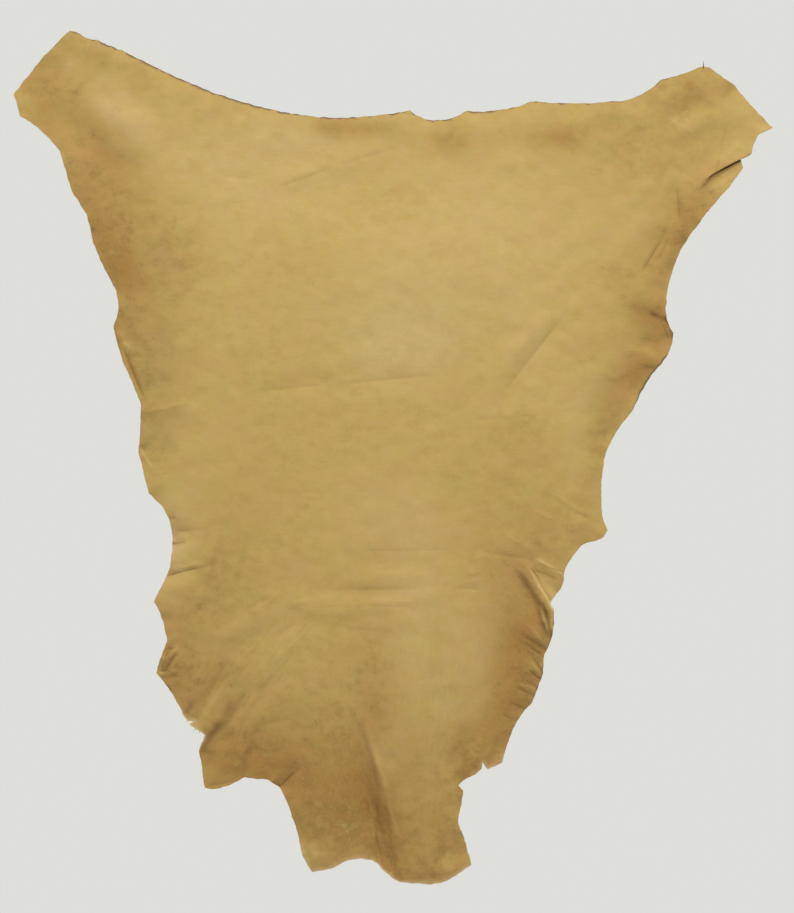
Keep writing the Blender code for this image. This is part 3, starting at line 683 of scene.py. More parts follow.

# How much darker (positive) or paler (negative) the cut edge and the skin beside it are.
EDGE_TONES = patches(
    ("dark along the rump, left", -330, 60, 260, 60, -24, 0.5),
    ("dark along the rump, right", 110, 5, 330, 50, 2, 0.45),
    ("dark along the right shank", 440, 62, 90, 40, 20, 0.3),
    ("dark rolled flank", -398, -380, 110, 40, -65, 0.1),
    ("dark left waist", -375, -500, 90, 40, -80, 0.2),
    ("dark under the flank's tip", 400, -400, 90, 50, 60, 0.7),
    ("dark beside the ruffles", 225, -830, 120, 40, 75, 0.3),
    ("pale tear", -300, -922, 34, 20, -45, -1.2),
    ("pale left lobe of the neck", -100, -1130, 80, 50, 0, -0.8),
    ("pale right lobe of the neck", 50, -1155, 110, 40, 0, -0.9),
    ("pale right tear", 142, -975, 30, 20, 0, -0.8),
    ("pale notch", 238, -735, 16, 12, 0, -0.9),
)


# --- The hanging form, taken from the solid of the frame ---

@dataclass
class SolidForm:
    """The middle layer of the hide's solid.

    Attributes:
        edge: the flat places of its cut edge, in order, anticlockwise.
        places: the flat places of all its points.
        rises: their rises.
    """

    edge: Places
    places: Places
    rises: Numbers

    @classmethod
    def of(cls, node: bpy.types.Object, thickness: float = 1.5) -> "SolidForm":
        """Reads a closed sheet of even thickness.

        Args:
            node: the sheet's object in the frame.
            thickness: the thickness that it was made with.

        Returns:
            The layer halfway between its two faces.
        """
        form = bmesh.new()
        form.from_mesh(node.data)
        bmesh.ops.remove_doubles(form, verts=form.verts, dist=0.05 * MM)
        # Only the rim's faces have a side that is about as short as the sheet is thick.
        rim = [face for face in form.faces
               if min(edge.calc_length() for edge in face.edges) < 1.2 * thickness * MM]
        bmesh.ops.delete(form, geom=rim, context="FACES")
        front = cls._joined(min(form.faces, key=lambda face: face.normal.y))
        form.normal_update()
        spots = {vert: vert.co / MM - vert.normal * thickness / 2.0
                 for face in front for vert in face.verts}
        loop = cls._boundary(front)
        edge = np.array([(spots[vert].x, spots[vert].z) for vert in loop])
        x, z = edge.T
        if np.sum(x * np.roll(z, -1) - np.roll(x, -1) * z) < 0.0:
            edge = edge[::-1]
        places = np.array([(spot.x, spot.z) for spot in spots.values()])
        rises = np.array([-spot.y for spot in spots.values()])
        form.free()
        return cls(edge, places, rises)

    @staticmethod
    def _joined(first: bmesh.types.BMFace) -> list[bmesh.types.BMFace]:
        """Gathers the faces that hang together.

        Args:
            first: one of them.

        Returns:
            All of them, in the form's order.
        """
        found = {first}
        waiting = [first]
        while waiting:
            for edge in waiting.pop().edges:
                for face in edge.link_faces:
                    if face not in found:
                        found.add(face)
                        waiting.append(face)
        return sorted(found, key=lambda face: face.index)

    @staticmethod
    def _boundary(faces: Sequence[bmesh.types.BMFace]) -> list[bmesh.types.BMVert]:
        """Walks round the faces' one open edge.

        Args:
            faces: the faces.

        Returns:
            The edge's corners, in order.
        """
        after = {}
        for face in faces:
            for loop in face.loops:
                if len(loop.edge.link_faces) == 1:
                    after[loop.vert] = loop.link_loop_next.vert
        first = min(after, key=lambda vert: vert.co.x)
        ring = [first]
        while after[ring[-1]] is not first:
            ring.append(after[ring[-1]])
        return ring


class BentPlate:
    """A smooth surface through scattered rises, bent as a thin plate would be.

    Attributes:
        SCALE: the length that counts as 1, which keeps the sums well behaved.
    """

    SCALE = 500.0

    def __init__(self, places: Places, rises: Numbers, slack: float) -> None:
        """Bends the plate.

        Args:
            places: where the rises are known.
            rises: the rises there.
            slack: how freely the plate may miss them.
        """
        self.places = places / self.SCALE
        count = len(places)
        level = np.column_stack([np.ones(count), self.places])
        table = np.zeros((count + 3, count + 3))
        table[:count, :count] = self._pull(self.places) + slack * np.eye(count)
        table[:count, count:] = level
        table[count:, :count] = level.T
        self.weights = np.linalg.solve(table, np.concatenate([rises, np.zeros(3)]))

    def _pull(self, places: Places) -> np.ndarray:
        """Returns how much each known place lifts each place given."""
        apart = ((places[:, None, :] - self.places[None, :, :]) ** 2).sum(axis=2)
        return 0.5 * apart * np.log(apart + 1e-12)

    def rises(self, places: Places, batch: int = 2000) -> Numbers:
        """Reads the plate's rise, a batch at a time.

        Args:
            places: where it is read.
            batch: how many places a batch holds.

        Returns:
            The rises.
        """
        found = []
        for part in np.array_split(places / self.SCALE, max(1, len(places) // batch)):
            lift = self._pull(part) @ self.weights[:-3]
            found.append(lift + self.weights[-3] + part @ self.weights[-2:])
        return np.concatenate(found)


class PleatSpot(NamedTuple):
    """One point of the section across the pleat.

    Attributes:
        below: the flat distance below the pleat's line.
        slide: how far the skin lies further down than that.
        rise: how far it stands to the front.
    """

    below: float
    slide: float
    rise: float


@dataclass(frozen=True)
class Pleat:
    """The flap of the right shank that laps over the skin below it.

    Attributes:
        line: runs in from the edge along the flap's lip, the lower skin on its left.
        section: the section across the line where the pleat is fullest.
        fade: the share of the line over which the pleat dies out at its inner end.
        reach_up: how far above the line it moves the skin, and reach_down how far below.
        dark_below: how far below the line the painted shadow under the flap is darkest, and
            dark_reach over what distance.
        offsets: how far below the line the mesh's rows lie, closest where the skin turns over.
    """

    line: Line = Line(533.0, -59.5, 452.0, -115.5, -6.0)
    fade: float = 0.75
    reach_up: float = 24.0
    reach_down: float = 30.0
    dark_below: float = 6.6
    dark_reach: float = 4.4
    offsets: tuple[float, ...] = (-19, -14, -10, -7, -5, -3.6, -2.6, -1.8, -1.1, -0.5, 0.1, 0.7,
                                  1.3, 2, 2.8, 3.8, 5.2, 7, 9.6, 13, 17, 22)
    section: tuple[PleatSpot, ...] = tuple(PleatSpot(*row) for row in (
        (-24, 0, 0), (-15, 0.6, 1), (-8, 2.4, 2.1), (-4, 4.6, 2.8), (-2, 5.2, 2.6),
        (-0.8, 4.2, 1.7), (0.4, 1, 0.8), (1.6, -3, -0.1), (2.8, -5.4, -1),
        (4.4, -5.8, -1.7), (8, -4.2, -1.4), (15, -1.4, -0.4), (30, 0, 0)))

    def _locate(self, places: Places) -> tuple[Numbers, Numbers]:
        """Returns the pleat's strength at some places and their distance below its line."""
        along, beside = self.line.locate(places)
        return eased((1.0 - along) / self.fade), beside

    def near(self, places: Places) -> np.ndarray:
        """Tells which places the pleat moves."""
        strength, below = self._locate(places)
        return (strength > 0.0) & (below > -self.reach_up) & (below < self.reach_down)

    def form(self, places: Places) -> tuple[Places, Numbers]:
        """Tells how the pleat moves the skin.

        Args:
            places: the flat places.

        Returns:
            How far each slides over the plane, and how far it is lifted off it.
        """
        strength, below = self._locate(places)
        known, *moves = np.array(self.section).T
        slide, rise = (strength * np.interp(below, known, move) for move in moves)
        return slide[:, None] * self.line.left, rise

    def shade(self, places: Places) -> Numbers:
        """Returns how strongly the painted shadow under the flap lies on some places, from nothing
        to 1.
        """
        strength, below = self._locate(places)
        return strength * np.exp(-((below - self.dark_below) / self.dark_reach) ** 2)

    def rows(self, step: float) -> Places:
        """Returns places a step apart in the rows beside the line."""
        return np.concatenate([self.line.row(step, offset) for offset in self.offsets])


# --- Shader sheets ---

class Value:
    """A number that varies over a surface or a mesh: one output socket, with arithmetic."""

    def __init__(self, sheet: "NodeSheet", socket: bpy.types.NodeSocket) -> None:
        """Wraps a socket of a sheet."""
        self.sheet = sheet
        self.socket = socket

    def _with(self, operation: str, first: "Value | float", last: "Value | float") -> "Value":
        """Returns the result of a Math node on two numbers."""
        node = self.sheet.node("ShaderNodeMath", {"operation": operation}, {0: first, 1: last})
        return Value(self.sheet, node.outputs[0])

    def __add__(self, other: "Value | float") -> "Value":
        """Adds a number."""
        return self._with("ADD", self, other)

    def __sub__(self, other: "Value | float") -> "Value":
        """Takes a number away."""
        return self._with("SUBTRACT", self, other)

    def __rsub__(self, other: float) -> "Value":
        """Takes this away from a number."""
        return self._with("SUBTRACT", other, self)

    def __mul__(self, other: "Value | float") -> "Value":
        """Multiplies by a number."""
        return self._with("MULTIPLY", self, other)

    __radd__ = __add__
    __rmul__ = __mul__

    def _spread(self, low: float, high: float, kind: str) -> "Value":
        """Spreads the numbers between two limits over 0 to 1.

        Args:
            low: what becomes 0.
            high: what becomes 1.
            kind: the Map Range node's interpolation.

        Returns:
            The result.
        """
        node = self.sheet.node("ShaderNodeMapRange", {"interpolation_type": kind},
                               {"Value": self, "From Min": low, "From Max": high})
        return Value(self.sheet, node.outputs["Result"])

    def ramp(self, low: float, high: float) -> "Value":
        """Returns 0 below low and 1 above high, even in between."""
        return self._spread(low, high, "LINEAR")

    def between(self, low: float, high: float) -> "Value":
        """Returns 0 below low and 1 above high, eased in between."""
        return self._spread(low, high, "SMOOTHSTEP")


class NodeSheet:
    """A tree of nodes, built from named nodes and sums."""

    def __init__(self, tree: bpy.types.NodeTree) -> None:
        """Starts with an empty tree."""
        self.tree = tree
        tree.nodes.clear()

    def node(self, kind: str, settings: Mapping[str, object] | None = None,
             sockets: Mapping[str | int, object] | None = None) -> bpy.types.Node:
        """Adds one node.

        Args:
            kind: its type.
            settings: its own settings, set first.
            sockets: the values or links of its input sockets.

        Returns:
            The node.
        """
        node = self.tree.nodes.new(kind)
        for name, setting in (settings or {}).items():
            setattr(node, name, setting)
        for name, given in (sockets or {}).items():
            given = given.socket if isinstance(given, Value) else given
            if isinstance(given, bpy.types.NodeSocket):
                self.tree.links.new(given, node.inputs[name])
            else:
                node.inputs[name].default_value = given
        return node


class Sheet(NodeSheet):
    """The node tree of one material."""

    def __init__(self, name: str) -> None:
        """Starts an empty material.

        Args:
            name: the material's name.
        """
        self.material = bpy.data.materials.new(name)
        self.material.use_nodes = True
        super().__init__(self.material.node_tree)
        self.place = self.node("ShaderNodeTexCoord").outputs["Object"]

    def attribute(self, name: str) -> Value:
        """Returns a number kept at the points of the mesh."""
        node = self.node("ShaderNodeAttribute", {"attribute_name": name})
        return Value(self, node.outputs["Fac"])

    def cloud(self, size: float, detail: float = 3.0, stretch: float = 1.0,
              turn: float = 0.0, seed: float = 0.0, blur: float = 0.5) -> Value:
        """Adds cloudy noise.

        Args:
            size: the size of one cloud, in millimetres.
            detail: how many finer layers lie over it.
            stretch: how much longer it is along its own way.
            turn: the angle of that way over the level, in degrees.
            seed: moves to another part of the noise.
            blur: how strong each finer layer is.

        Returns:
            Numbers that spread evenly about zero, seldom past half.
        """
        spot = self.node("ShaderNodeMapping", {"vector_type": "TEXTURE"},
                         {"Vector": self.place, "Location": (seed, 0.0, 0.0),
                          "Rotation": (0.0, -math.radians(turn), 0.0),
                          "Scale": (size * stretch * MM, size * MM, size * MM)})
        noise = self.node("ShaderNodeTexNoise", {"noise_dimensions": "3D"},
                          {"Vector": spot.outputs[0], "Scale": 1.0, "Detail": detail,
                           "Roughness": blur})
        return Value(self, noise.outputs["Fac"]) - 0.5

    def blend(self, share: Value, under: object, over: object) -> bpy.types.NodeSocket:
        """Mixes two colours, each a colour or a socket.

        Args:
            share: how much of the second shows.
            under: the first.
            over: the second.

        Returns:
            The result's socket. A Mix node set to colours takes them at 6 and 7, gives 2.
        """
        colours = [(*colour, 1.0) if isinstance(colour, tuple) else colour
                   for colour in (under, over)]
        node = self.node("ShaderNodeMix", {"data_type": "RGBA"},
                         {0: share, 6: colours[0], 7: colours[1]})
        return node.outputs[2]

    def finish(self, colour: object, roughness: object, fixed: Mapping[str, object],
               bump: Value | None = None, depth: float = 0.0) -> bpy.types.Material:
        """Joins the colour, roughness and bump to one shader.

        Args:
            colour: the base colour's socket.
            roughness: a number or a socket.
            fixed: what is the same all over, by socket name.
            bump: the height of the fine relief, or none.
            depth: the height of the relief for one unit of bump, in millimetres.

        Returns:
            The finished material.
        """
        sockets = {"Base Color": colour, "Roughness": roughness, **fixed}
        if bump is not None:
            relief = self.node("ShaderNodeBump", {},
                               {"Height": bump, "Distance": depth * MM, "Strength": 1.0})
            sockets["Normal"] = relief.outputs[0]
        shader = self.node("ShaderNodeBsdfPrincipled", {}, sockets)
        self.node("ShaderNodeOutputMaterial", {}, {"Surface": shader.outputs[0]})
        return self.material


# --- Finishes ---

@dataclass(frozen=True)
class FaceFinish:
    """The sueded golden face of the skin, cloudy with dye and soft with nap, with painted shade and
    painted highlights at its creases and pleat.

    Attributes:
        cloudiness: how much cloudier the dye is where the skin took most of it.
        crease_tint: how strongly the painted shade and highlights of the creases and the pleat
            show.
    """

    # The colour of the painted shade in the grooves and the pleat.
    dark: Colour = (0.080, 0.031, 0.007)
    deep: Colour = (0.290, 0.183, 0.055)
    golden: Colour = (0.453, 0.315, 0.098)
    pale: Colour = (0.560, 0.410, 0.192)
    rust: Colour = (0.310, 0.152, 0.038)
    olive: Colour = (0.375, 0.282, 0.098)
    rose: Colour = (0.487, 0.290, 0.115)
    lime: Colour = (0.412, 0.334, 0.100)
    mauve: Colour = (0.110, 0.060, 0.045)
    cream: Colour = (0.640, 0.520, 0.300)
    # The colour of the painted highlights on the ridges.
    bright: Colour = (0.690, 0.505, 0.195)
    roughness: float = 0.88
    nap_depth: float = 0.10
    cloudiness: float = 2.8
    crease_tint: float = 0.45

    def build(self) -> bpy.types.Material:
        """Builds the material.

        Returns:
            The material.
        """
        sheet = Sheet("tan_leather_face")
        clouds = sheet.cloud(50.0, 2.0, seed=3.0)
        mottle = sheet.cloud(14.0, 2.0, stretch=1.3, seed=11.0)
        freckles = sheet.cloud(5.0, 2.0, seed=47.0)
        grain = sheet.cloud(1.8, 3.0, seed=31.0, blur=0.6)
        fibres = self._fibres(sheet)
        patchy = 1.0 + sheet.attribute("patchy") * self.cloudiness
        tone = (sheet.attribute("tone") + fibres * 0.75 + clouds * 0.22
                + (clouds * 0.16 + mottle * 0.80 + freckles * 0.38 + grain * 0.32) * patchy)
        colour = sheet.blend(tone.ramp(-1.0, 0.0), self.deep, self.golden)
        colour = sheet.blend(tone.ramp(0.0, 1.0), colour, self.pale)
        drift = sheet.cloud(40.0, 3.0, seed=53.0, blur=0.65)
        flecks = sheet.cloud(7.0, 3.0, seed=59.0, blur=0.65)
        hue = (drift * 1.7 + flecks * 1.2) * (0.4 + patchy * 0.35)
        colour = sheet.blend(hue.ramp(0.0, 1.0), colour, self.rose)
        colour = sheet.blend(hue.ramp(0.0, -1.0), colour, self.lime)
        rusty = sheet.attribute("rust")
        olive = (sheet.attribute("olive") + drift * 0.9 - rusty * 0.6).between(0.0, 1.0)
        colour = sheet.blend(olive * 0.75, colour, self.olive)
        rust = rusty + clouds * 0.3 + (mottle * 0.18 + freckles * 0.14) * patchy
        colour = sheet.blend(rust.ramp(0.0, 1.0), colour, self.rust)
        # Painted highlights on the ridges and painted shade in the grooves and under the pleat's
        # flap, with the pale scars and dark flecks.
        for name, tint in (("painted_highlight_and_pale_marks", self.bright), ("shade", self.dark)):
            share = sheet.attribute(name) * self.crease_tint
            colour = sheet.blend(share.ramp(0.0, 1.0), colour, tint)
        # Along the cut edge the face is darkened to mauve-brown or paled to cream, as the edge
        # tones say.
        line = sheet.attribute("edge_line")
        edge_tone = sheet.attribute("edge_tone") + mottle * 1.4
        colour = sheet.blend((line * edge_tone.between(0.1, 0.7)).between(0.15, 0.7) * 0.8,
                             colour, self.mauve)
        colour = sheet.blend((line * (0.0 - edge_tone).between(0.1, 0.7)) * 0.6, colour, self.cream)
        rough = self.roughness + mottle * 0.08
        nap = (grain + sheet.cloud(0.7, 2.0, seed=41.0) * 0.7 + mottle * 1.2
               + freckles * 1.2 * patchy + fibres * 6.0)
        return sheet.finish(colour, rough,
                            {"Sheen Weight": 0.12, "Sheen Roughness": 0.45,
                             "Sheen Tint": (1.0, 0.90, 0.72, 1.0),
                             "Specular IOR Level": 0.2, "IOR": 1.45}, nap, self.nap_depth)

    @staticmethod
    def _fibres(sheet: Sheet) -> Value:
        """Adds the streaks of the fibres.

        Args:
            sheet: the material's nodes.

        Returns:
            Streaks that lie level, and along the folds where the skin folds.
        """
        total = sheet.cloud(5.0, 2.0, stretch=5.0, seed=23.0) * 0.3
        for lay in Lay:
            streaks = sheet.cloud(4.0, 3.0, stretch=6.0, turn=lay.value, seed=61.0 + lay.value)
            total = total + sheet.attribute(lay.name.lower()) * streaks
        return total


@dataclass(frozen=True)
class FleshFinish:
    """The flesh side: duller, pinker and longer in the nap than the face."""

    dull: Colour = (0.300, 0.190, 0.092)
    bright: Colour = (0.450, 0.315, 0.170)
    roughness: float = 0.93
    nap_depth: float = 0.22

    def build(self) -> bpy.types.Material:
        """Builds the material.

        Returns:
            The material.
        """
        sheet = Sheet("tan_leather_flesh")
        clouds = sheet.cloud(75.0, 4.0, seed=5.0, blur=0.6)
        fibres = sheet.cloud(2.4, 4.0, stretch=2.2, turn=90.0, seed=17.0, blur=0.65)
        mottle = sheet.cloud(13.0, 4.0, seed=29.0)
        tone = sheet.attribute("tone") * 0.4 + clouds * 0.9 + mottle * 0.5 + fibres * 0.5
        colour = sheet.blend(tone.between(-0.7, 0.7), self.dull, self.bright)
        return sheet.finish(colour, self.roughness,
                            {"Sheen Weight": 0.1, "Sheen Roughness": 0.5,
                             "Sheen Tint": (1.0, 0.92, 0.80, 1.0),
                             "Specular IOR Level": 0.15}, fibres + mottle, self.nap_depth)


@dataclass(frozen=True)
class CutFinish:
    """The cut edge: pale and fibrous low down, darker mauve-brown along the rump and shanks."""

    cream: Colour = (0.560, 0.450, 0.265)
    mauve: Colour = (0.190, 0.110, 0.075)
    roughness: float = 0.92
    nap_depth: float = 0.15

    def build(self) -> bpy.types.Material:
        """Builds the material.

        Returns:
            The material.
        """
        sheet = Sheet("tan_leather_cut")
        flecks = sheet.cloud(1.1, 3.0, seed=7.0, blur=0.65)
        stains = sheet.cloud(14.0, 3.0, seed=19.0)
        mauve_share = (sheet.attribute("edge_tone") + stains * 0.9).between(-0.1, 0.6)
        cream = sheet.blend(flecks.between(-0.4, 0.4), self.mauve, self.cream)
        pale = sheet.blend(0.35 + flecks * 0.6, self.cream, cream)
        colour = sheet.blend(mauve_share * 0.85, pale, self.mauve)
        return sheet.finish(colour, self.roughness, {"Specular IOR Level": 0.15}, flecks,
                            self.nap_depth)


@dataclass(frozen=True)
class FibreFinish:
    """Loose leather fibres: dry, pale and matt."""

    name: str = "tan_leather_fibre"
    tan: Colour = (0.430, 0.300, 0.140)
    pale: Colour = (0.640, 0.540, 0.360)

    def build(self) -> bpy.types.Material:
        """Builds the material.

        Returns:
            The material.
        """
        sheet = Sheet(self.name)
        change = sheet.cloud(4.0, 2.0, seed=13.0)
        colour = sheet.blend(change.between(-0.25, 0.25), self.tan, self.pale)
        return sheet.finish(colour, 0.9, {"Specular IOR Level": 0.15})


@dataclass(frozen=True)
class FloorFinish:
    """The pale studio floor."""

    colour: Colour = (0.70, 0.70, 0.685)

    def build(self) -> bpy.types.Material:
        """Builds the material.

        Returns:
            The material.
        """
        sheet = Sheet("studio_floor")
        change = sheet.cloud(600.0, 3.0)
        lower = tuple(0.97 * part for part in self.colour)
        colour = sheet.blend(change.between(-0.4, 0.4), lower, self.colour)
        return sheet.finish(colour, 0.9, {"Specular IOR Level": 0.1})


# --- The skin ---

class Side(Enum):
    """The surfaces of the skin, in the order of its material slots."""

    FACE = 0
    FLESH = 1
    CUT = 2


@dataclass
class Skin:
    """The whole skin: one sheet with a front, a back and a cut edge.

    Attributes:
        solid: the hanging form that it follows.
        pleat: the pleat of the right shank.
        grid_step: the spacing of its points away from the edge and the creases.
        edge_step: their spacing along the edge, and pleat_step where the pleat meets it.
        inset: how far inside the edge the first row lies.
        corner: the turn of the edge past which a corner of it stays sharp, in degrees.
        ragged: how far the knife's cut wanders.
        ripple: how far the free edge waves out of the plane, and ripple_reach how far inwards.
        quiver: the height of the low unevenness all over.
        thickness: the usual thickness, and thinner how much of it varies.
        belly: how far the cut edge bulges at mid thickness.
        folded_slack: how freely the skin follows the solid, and calm_slack where it is calmed.
        pleat_shade: how dark the painted shadow in the pleat is.
        patchiness: the least and the most that the dye's cloudiness may be raised.
        map_start: where the flat map starts, to the left and below, and map_size its side.
    """

    solid: SolidForm
    pleat: Pleat
    grid_step: float = 5.5
    edge_step: float = 2.6
    pleat_step: float = 0.8
    inset: float = 2.0
    corner: float = 32.0
    ragged: float = 0.45
    ripple: float = 1.4
    ripple_reach: float = 24.0
    quiver: float = 0.35
    thickness: float = 1.3
    thinner: float = 0.12
    belly: float = 0.22
    folded_slack: float = 2e-5
    calm_slack: float = 0.08
    pleat_shade: float = 2.8
    patchiness: tuple[float, float] = (0.0, 1.9)
    map_start: tuple[float, float] = (600.0, 1200.0)
    map_size: float = 1350.0

    def build(self) -> bpy.types.Object:
        """Makes and dresses the skin.

        Returns:
            The finished piece.
        """
        self.edge = self._fine_edge()
        places = self._places()
        faces = self._triangles(places)
        middle = self._hung(places)
        piece = self._object(places, middle, faces)
        self._keep_numbers(piece.data, places)
        for finish in (FaceFinish(), FleshFinish(), CutFinish()):
            piece.data.materials.append(finish.build())
        return piece

    def _fine_edge(self) -> Places:
        """Draws the cut edge finely, smooth between its corners.

        Returns:
            The slightly ragged edge, anticlockwise.
        """
        rough = self.solid.edge
        before = rough - np.roll(rough, 1, axis=0)
        after = np.roll(rough, -1, axis=0) - rough
        turn = np.degrees(np.abs(np.arctan2(
            before[:, 0] * after[:, 1] - before[:, 1] * after[:, 0], (before * after).sum(axis=1))))
        sharp = (turn > self.corner)[:, None]
        smooth = 0.5 * (before + after)
        leaving = np.where(sharp, after, smooth)
        coming = np.roll(np.where(sharp, before, smooth), -1, axis=0)
        found = []
        for index, start in enumerate(rough):
            end = rough[(index + 1) % len(rough)]
            length = float(np.hypot(*(end - start)))
            near = self.pleat.near(start[None, :])[0]
            step = self.pleat_step if near else self.edge_step
            parts = max(1, round(length / step))
            share = (np.arange(parts) / parts)[:, None]
            found.append(start * (1 + 2 * share) * (1 - share) ** 2
                         + end * share ** 2 * (3 - 2 * share)
                         + leaving[index] * share * (1 - share) ** 2
                         - coming[index] * share ** 2 * (1 - share))
        edge = np.concatenate(found)
        wander = 0.6 * waves(edge, 14.0, 5) + 0.4 * waves(edge, 34.0, 6)
        calm = np.where(self.pleat.near(edge), 0.0, 1.0)
        return edge + (self.ragged * wander * calm)[:, None] * outward(edge)

    def _inside(self, places: Places) -> np.ndarray:
        """Tells which places lie within the edge.

        Args:
            places: the flat places.

        Returns:
            A yes or no for each.
        """
        odd = np.zeros(len(places), dtype=bool)
        for start, end in zip(self.edge, np.roll(self.edge, -1, axis=0)):
            if start[1] == end[1]:
                continue
            spans = (start[1] > places[:, 1]) != (end[1] > places[:, 1])
            at = start[0] + (places[:, 1] - start[1]) * (end[0] - start[0]) / (end[1] - start[1])
            odd ^= spans & (places[:, 0] < at)
        return odd

    def _grid(self) -> Places:
        """Lays an even triangular grid.

        Returns:
            Its places, over the skin's whole box.
        """
        low = self.edge.min(axis=0)
        high = self.edge.max(axis=0)
        rows = []
        for row, z in enumerate(np.arange(low[1], high[1], self.grid_step * math.sqrt(0.75))):
            xs = np.arange(low[0] + 0.5 * self.grid_step * (row % 2), high[0], self.grid_step)
            rows.append(np.column_stack([xs, np.full(len(xs), z)]))
        return np.concatenate(rows)

    def _places(self) -> Places:
        """Gathers the mesh's flat places.

        Returns:
            Those of the edge first, then the finest rows, then the grid.
        """
        taken = self.edge
        rows = [crease.line.row(3.0, share * crease.reach)
                for crease in CREASES for share in (0.0, -0.55, 0.55, -1.2, 1.2)]
        inset = self.edge - self.inset * outward(self.edge)
        # Each group, the room between its places and others, and how far it keeps off the edge.
        groups = ((inset, 0.75 * self.inset, 0.75 * self.inset),
                  (self.pleat.rows(1.6), 0.42, 0.7),
                  (np.concatenate(rows), 1.1, 1.8),
                  (self._grid(), 0.62 * self.grid_step, 3.2))
        for group, room, clearance in groups:
            group = group[self._inside(group)]
            group = group[nearest(group, self.edge)[0] > clearance]
            group = group[nearest(group, taken)[0] > room]
            group = self._thinned(group, room)
            taken = np.concatenate([taken, group])
        return taken

    @staticmethod
    def _thinned(places: Places, room: float) -> Places:
        """Drops the places that crowd an earlier one.

        Args:
            places: the flat places.
            room: the least distance between them.

        Returns:
            Those that are kept.
        """
        cells: dict[tuple[int, int], list[tuple[float, float]]] = {}
        kept = []
        for x, z in places.tolist():
            column, row = int(x // room), int(z // room)
            near = [spot for i in (-1, 0, 1) for j in (-1, 0, 1)
                    for spot in cells.get((column + i, row + j), ())]
            if all((x - a) ** 2 + (z - b) ** 2 >= room * room for a, b in near):
                cells.setdefault((column, row), []).append((x, z))
                kept.append((x, z))
        return np.array(kept)

    def _triangles(self, places: Places) -> np.ndarray:
        """Joins the places to triangles.

        Args:
            places: the flat places.

        Returns:
            The triangles, each anticlockwise.
        """
        count = len(self.edge)
        ring = [(index, (index + 1) % count) for index in range(count)]
        flat = [Vector(place) for place in places]
        _, _, faces, _, _, _ = delaunay_2d_cdt(flat, ring, [], 1, 1e-6)
        faces = np.array([tuple(face) for face in faces])
        a, b, c = (places[faces[:, corner]] for corner in range(3))
        area = (b[:, 0] - a[:, 0]) * (c[:, 1] - a[:, 1]) - (b[:, 1] - a[:, 1]) * (c[:, 0] - a[:, 0])
        faces[area < 0.0] = faces[area < 0.0][:, ::-1]
        return faces

    def _hung(self, places: Places) -> Points:
        """Hangs the skin.

        Args:
            places: the flat places.

        Returns:
            Where the middle of the skin is at each.
        """
        known = ~self.pleat.near(self.solid.places)
        folded, level = (BentPlate(self.solid.places[known], self.solid.rises[known], slack)
                         for slack in (self.folded_slack, self.calm_slack))
        calm = np.clip(covered(places, CALMS), 0.0, 1.0)
        rise = (1.0 - calm) * folded.rises(places) + calm * level.rises(places)
        for crease in CREASES:
            rise += crease.rise * crease.profile(places)
        away, closest = nearest(places, self.edge)
        sway = (waves(self.edge, 62.0, 8) + 0.5 * waves(self.edge, 30.0, 9))[closest]
        rise += self.ripple * sway * np.exp(-(away / self.ripple_reach) ** 2)
        rise += self.quiver * (waves(places, 46.0, 15) + 0.45 * waves(places, 21.0, 16))
        slide, lift = self.pleat.form(places)
        spots = places + slide
        return np.column_stack([spots[:, 0], -(rise + lift), spots[:, 1]])

    def _object(self, places: Places, middle: Points, faces: np.ndarray) -> bpy.types.Object:
        """Builds the closed sheet: front, back and a slightly rounded cut edge.

        Args:
            places: the flat places.
            middle: where the middle of the skin is at each.
            faces: the triangles between them.

        Returns:
            The object, with the side of each face as its material index.
        """
        total, count = len(places), len(self.edge)
        out = np.zeros_like(middle)
        a, b, c = (middle[faces[:, corner]] for corner in range(3))
        normals = np.cross(b - a, c - a)
        for corner in range(3):
            np.add.at(out, faces[:, corner], normals)
        out /= np.linalg.norm(out, axis=1)[:, None]
        half = 0.5 * self.thickness * (1.0 + self.thinner * waves(places, 70.0, 21))
        ring = middle[:count]
        way = np.roll(ring, -1, axis=0) - np.roll(ring, 1, axis=0)
        beside = np.cross(way, out[:count])
        beside /= np.linalg.norm(beside, axis=1)[:, None]
        belly = ring + self.belly * beside
        spots = np.concatenate([middle + half[:, None] * out, middle - half[:, None] * out, belly])

        front = np.arange(count)
        after = (front + 1) % count
        back, rim = total, 2 * total
        front_rim = np.column_stack([after, front, rim + front, rim + after])
        back_rim = np.column_stack([back + front, back + after, rim + after, rim + front])
        shell = [*faces.tolist(), *(faces[:, ::-1] + back).tolist(),
                 *front_rim.tolist(), *back_rim.tolist()]
        data = bpy.data.meshes.new("skin")
        data.from_pydata(spots * MM, [], shell)
        sides = np.repeat([Side.FACE.value, Side.FLESH.value, Side.CUT.value],
                          [len(faces), len(faces), 2 * count])
        data.polygons.foreach_set("material_index", sides)
        data.polygons.foreach_set("use_smooth", np.ones(len(shell), dtype=bool))
        self._sharpen(data, total, count)
        data.validate()
        return added("skin", data)

    @staticmethod
    def _sharpen(data: bpy.types.Mesh, total: int, count: int) -> None:
        """Keeps the shading sharp where the two faces meet the cut edge.

        Args:
            data: the skin's mesh.
            total: how many points a face has.
            count: how many of them lie on the edge.
        """
        ends = np.zeros(2 * len(data.edges), dtype=int)
        data.edges.foreach_get("vertices", ends)
        low, high = np.sort(ends.reshape(-1, 2), axis=1).T
        sharp = np.zeros(len(low), dtype=bool)
        for first in (0, total):
            held = (low >= first) & (high < first + count)
            step = high - low
            sharp |= held & ((step == 1) | (step == count - 1))
        data.attributes.new("sharp_edge", "BOOLEAN", "EDGE").data.foreach_set("value", sharp)

